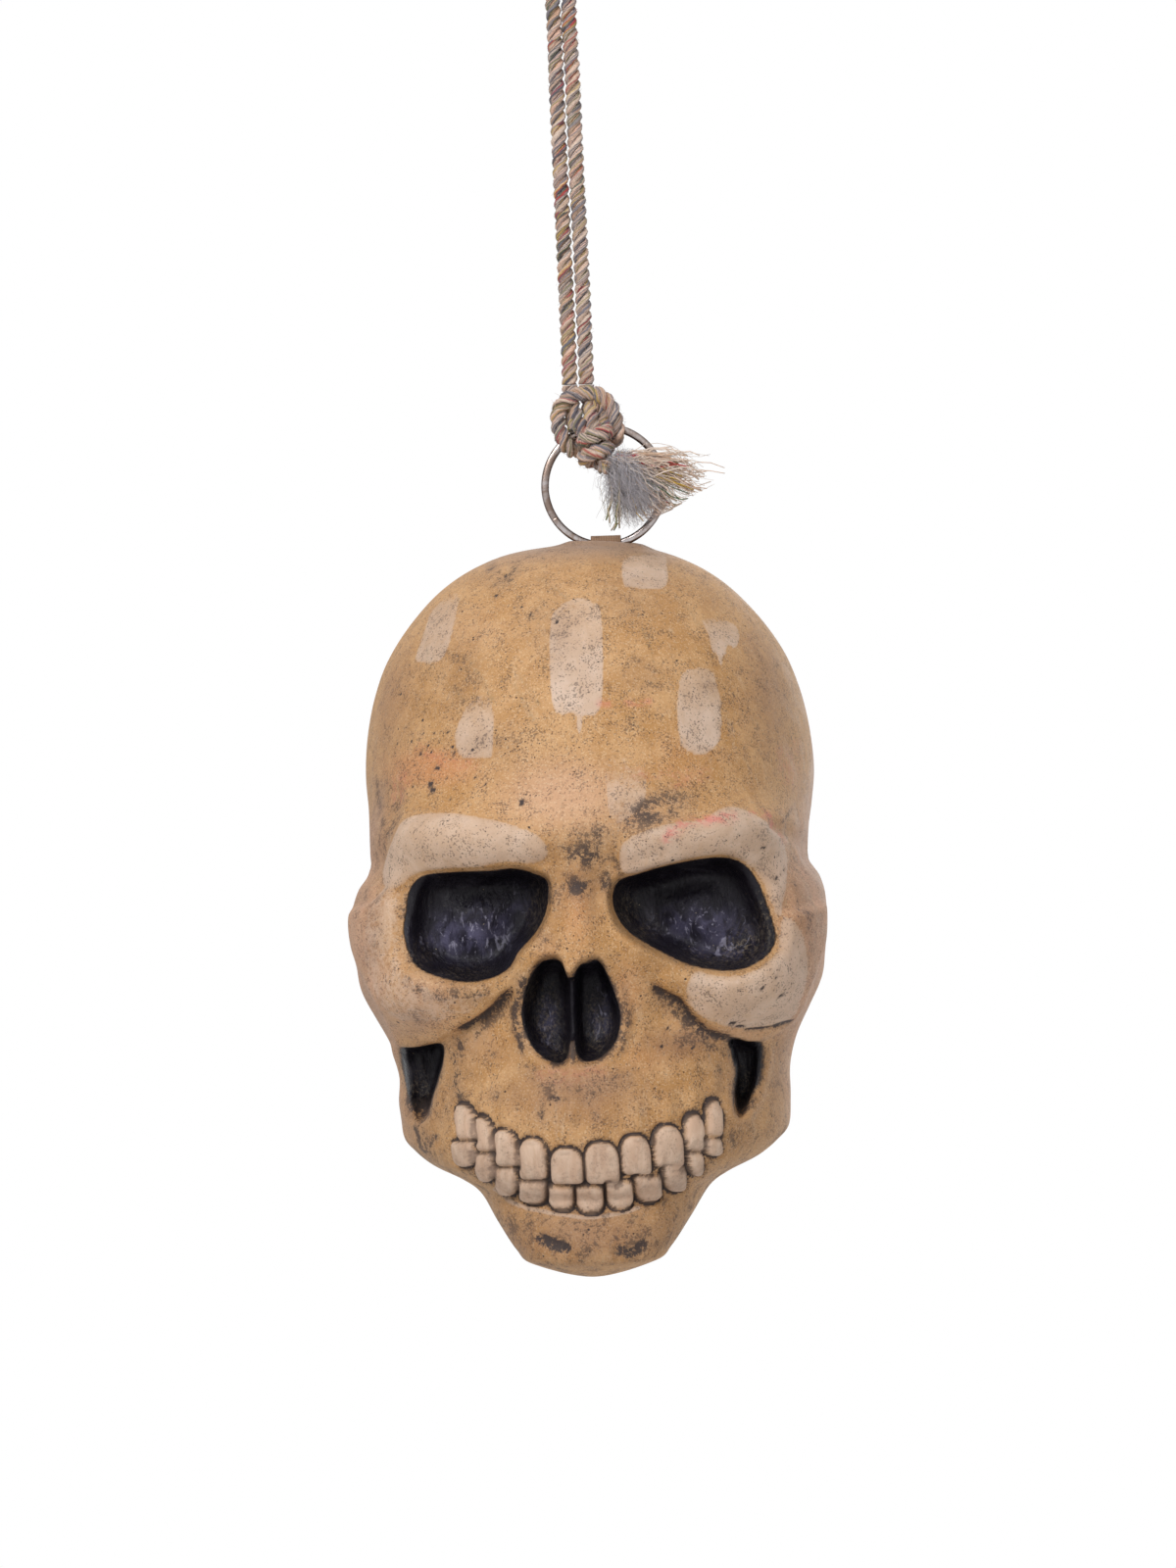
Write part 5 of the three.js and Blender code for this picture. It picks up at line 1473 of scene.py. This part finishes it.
def make_skull():
    """The painted skin, from the sculpted head and its neck rim."""
    points, faces, masks = head_grid(*SKIN_GRID, PAINT_INSET)
    rim_points, rim_faces = neck_rim()
    offset = len(points)
    faces += [tuple(offset + i for i in face) for face in rim_faces]
    masks = {name: np.append(value, np.zeros(len(rim_points))) for name, value in masks.items()}
    points = np.vstack([points, rim_points])
    skull = make_mesh("painted_skull", points, faces, skull_origin)
    x, y, z = np.abs(points[:, 0]), points[:, 1], points[:, 2]
    masks["pink"] = 0.9 * smooth(x, 46, 66) * smooth(-z, -175, -110) + 0.5 * smooth(y, -20, 40)
    masks["crown"] = smooth(z, SKULL_HEIGHT * 0.955, SKULL_HEIGHT)
    # Darker towards the bottom of the head, by the neck rim
    masks["wash_and_shade"] = np.maximum(masks["wash_and_shade"], 0.45 * smooth(-z, -NECK_LEVEL - 6, -NECK_LEVEL + 2))
    for name, value in masks.items():
        paint(skull, name, value)
    skull.data.materials.append(latex_look())
    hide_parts("skull_skin")
    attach(skull, "skull")


def make_foam():
    """The foam that fills the skin, a wall's thickness inside the painted face."""
    depth = SKIN_WALL + FOAM_GAP
    points, faces, _ = head_grid(*FOAM_GRID, depth, depth)
    foam = make_mesh("poured_foam", points, faces, skull_origin)
    foam.data.materials.append(foam_look())
    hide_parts("foam_core")
    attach(foam, "skull")


def repaint(node, look):
    """Gives a part of the frame that stays as it is its material."""
    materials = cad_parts[node].data.materials
    materials.clear()
    materials.append(look)


def join_light(look, share, unseen, seen):
    """A shader that gives its second light to rays that reach the eye, by a share."""
    path = look.node("ShaderNodeLightPath").outputs
    watched = look.most(path["Is Camera Ray"], path["Is Glossy Ray"], path["Is Transmission Ray"])
    return look.node("ShaderNodeMixShader", {0: watched * share, 1: unseen, 2: seen}).outputs[0]


def make_world():
    """A white surround that lights the object only softly."""
    world = bpy.data.worlds.new("studio")
    bpy.context.scene.world = world
    world.use_nodes = True
    world.node_tree.nodes.clear()
    look = Look(world)
    soft, white = [look.node("ShaderNodeBackground", {"Color": (1, 1, 1, 1), "Strength": strength}).outputs[0]
                   for strength in (SOFT_LIGHT, 1.0)]
    look.node("ShaderNodeOutputWorld", {"Surface": join_light(look, 1.0, soft, white)})


def make_floor():
    """A sheet of white paper well below the object."""
    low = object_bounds()[0][2] - FLOOR_DROP
    mesh = bpy.data.meshes.new("studio_floor")
    mesh.from_pydata([(-2, -2, low), (2, -2, low), (2, 1.6, low), (-2, 1.6, low)], [], [(0, 1, 2, 3)])
    floor = bpy.data.objects.new("studio_floor", mesh)
    bpy.context.collection.objects.link(floor)
    look = material("studio_paper")
    paper = look.mix(look.noise(30), lin(236, 236, 236), lin(242, 242, 242))
    mesh.materials.append(look.end(Base_Color=paper, Roughness=0.9))
    lit = look.node("ShaderNodeEmission", {"Strength": 1.0}).outputs[0]
    nodes = look.tree.nodes
    both = join_light(look, FLOOR_GLOW, nodes["Principled BSDF"].outputs[0], lit)
    look.put(nodes["Material Output"].inputs["Surface"], both)


def make_lamps():
    """Square lamps that look at the middle of the head."""
    centre = Vector(skull_origin * MM) + Vector((0, 0, 0.12))
    for name, place, size, watts in LAMPS:
        data = bpy.data.lights.new(name, "AREA")
        data.shape = "SQUARE"
        data.size = size
        data.energy = watts
        lamp = bpy.data.objects.new(name, data)
        bpy.context.collection.objects.link(lamp)
        lamp.location = centre + Vector(place)
        lamp.rotation_euler = (-Vector(place)).to_track_quat("-Z", "Y").to_euler()
    bpy.context.scene.view_settings.view_transform = "Standard"


make_camera()
make_rope()
make_ring()
make_skull()
make_foam()
repaint("pour_plug", plug_look())
repaint("hanger_strap", strap_look())
repaint("anchor_washer", zinc_look())
make_world()
make_floor()
make_lamps()
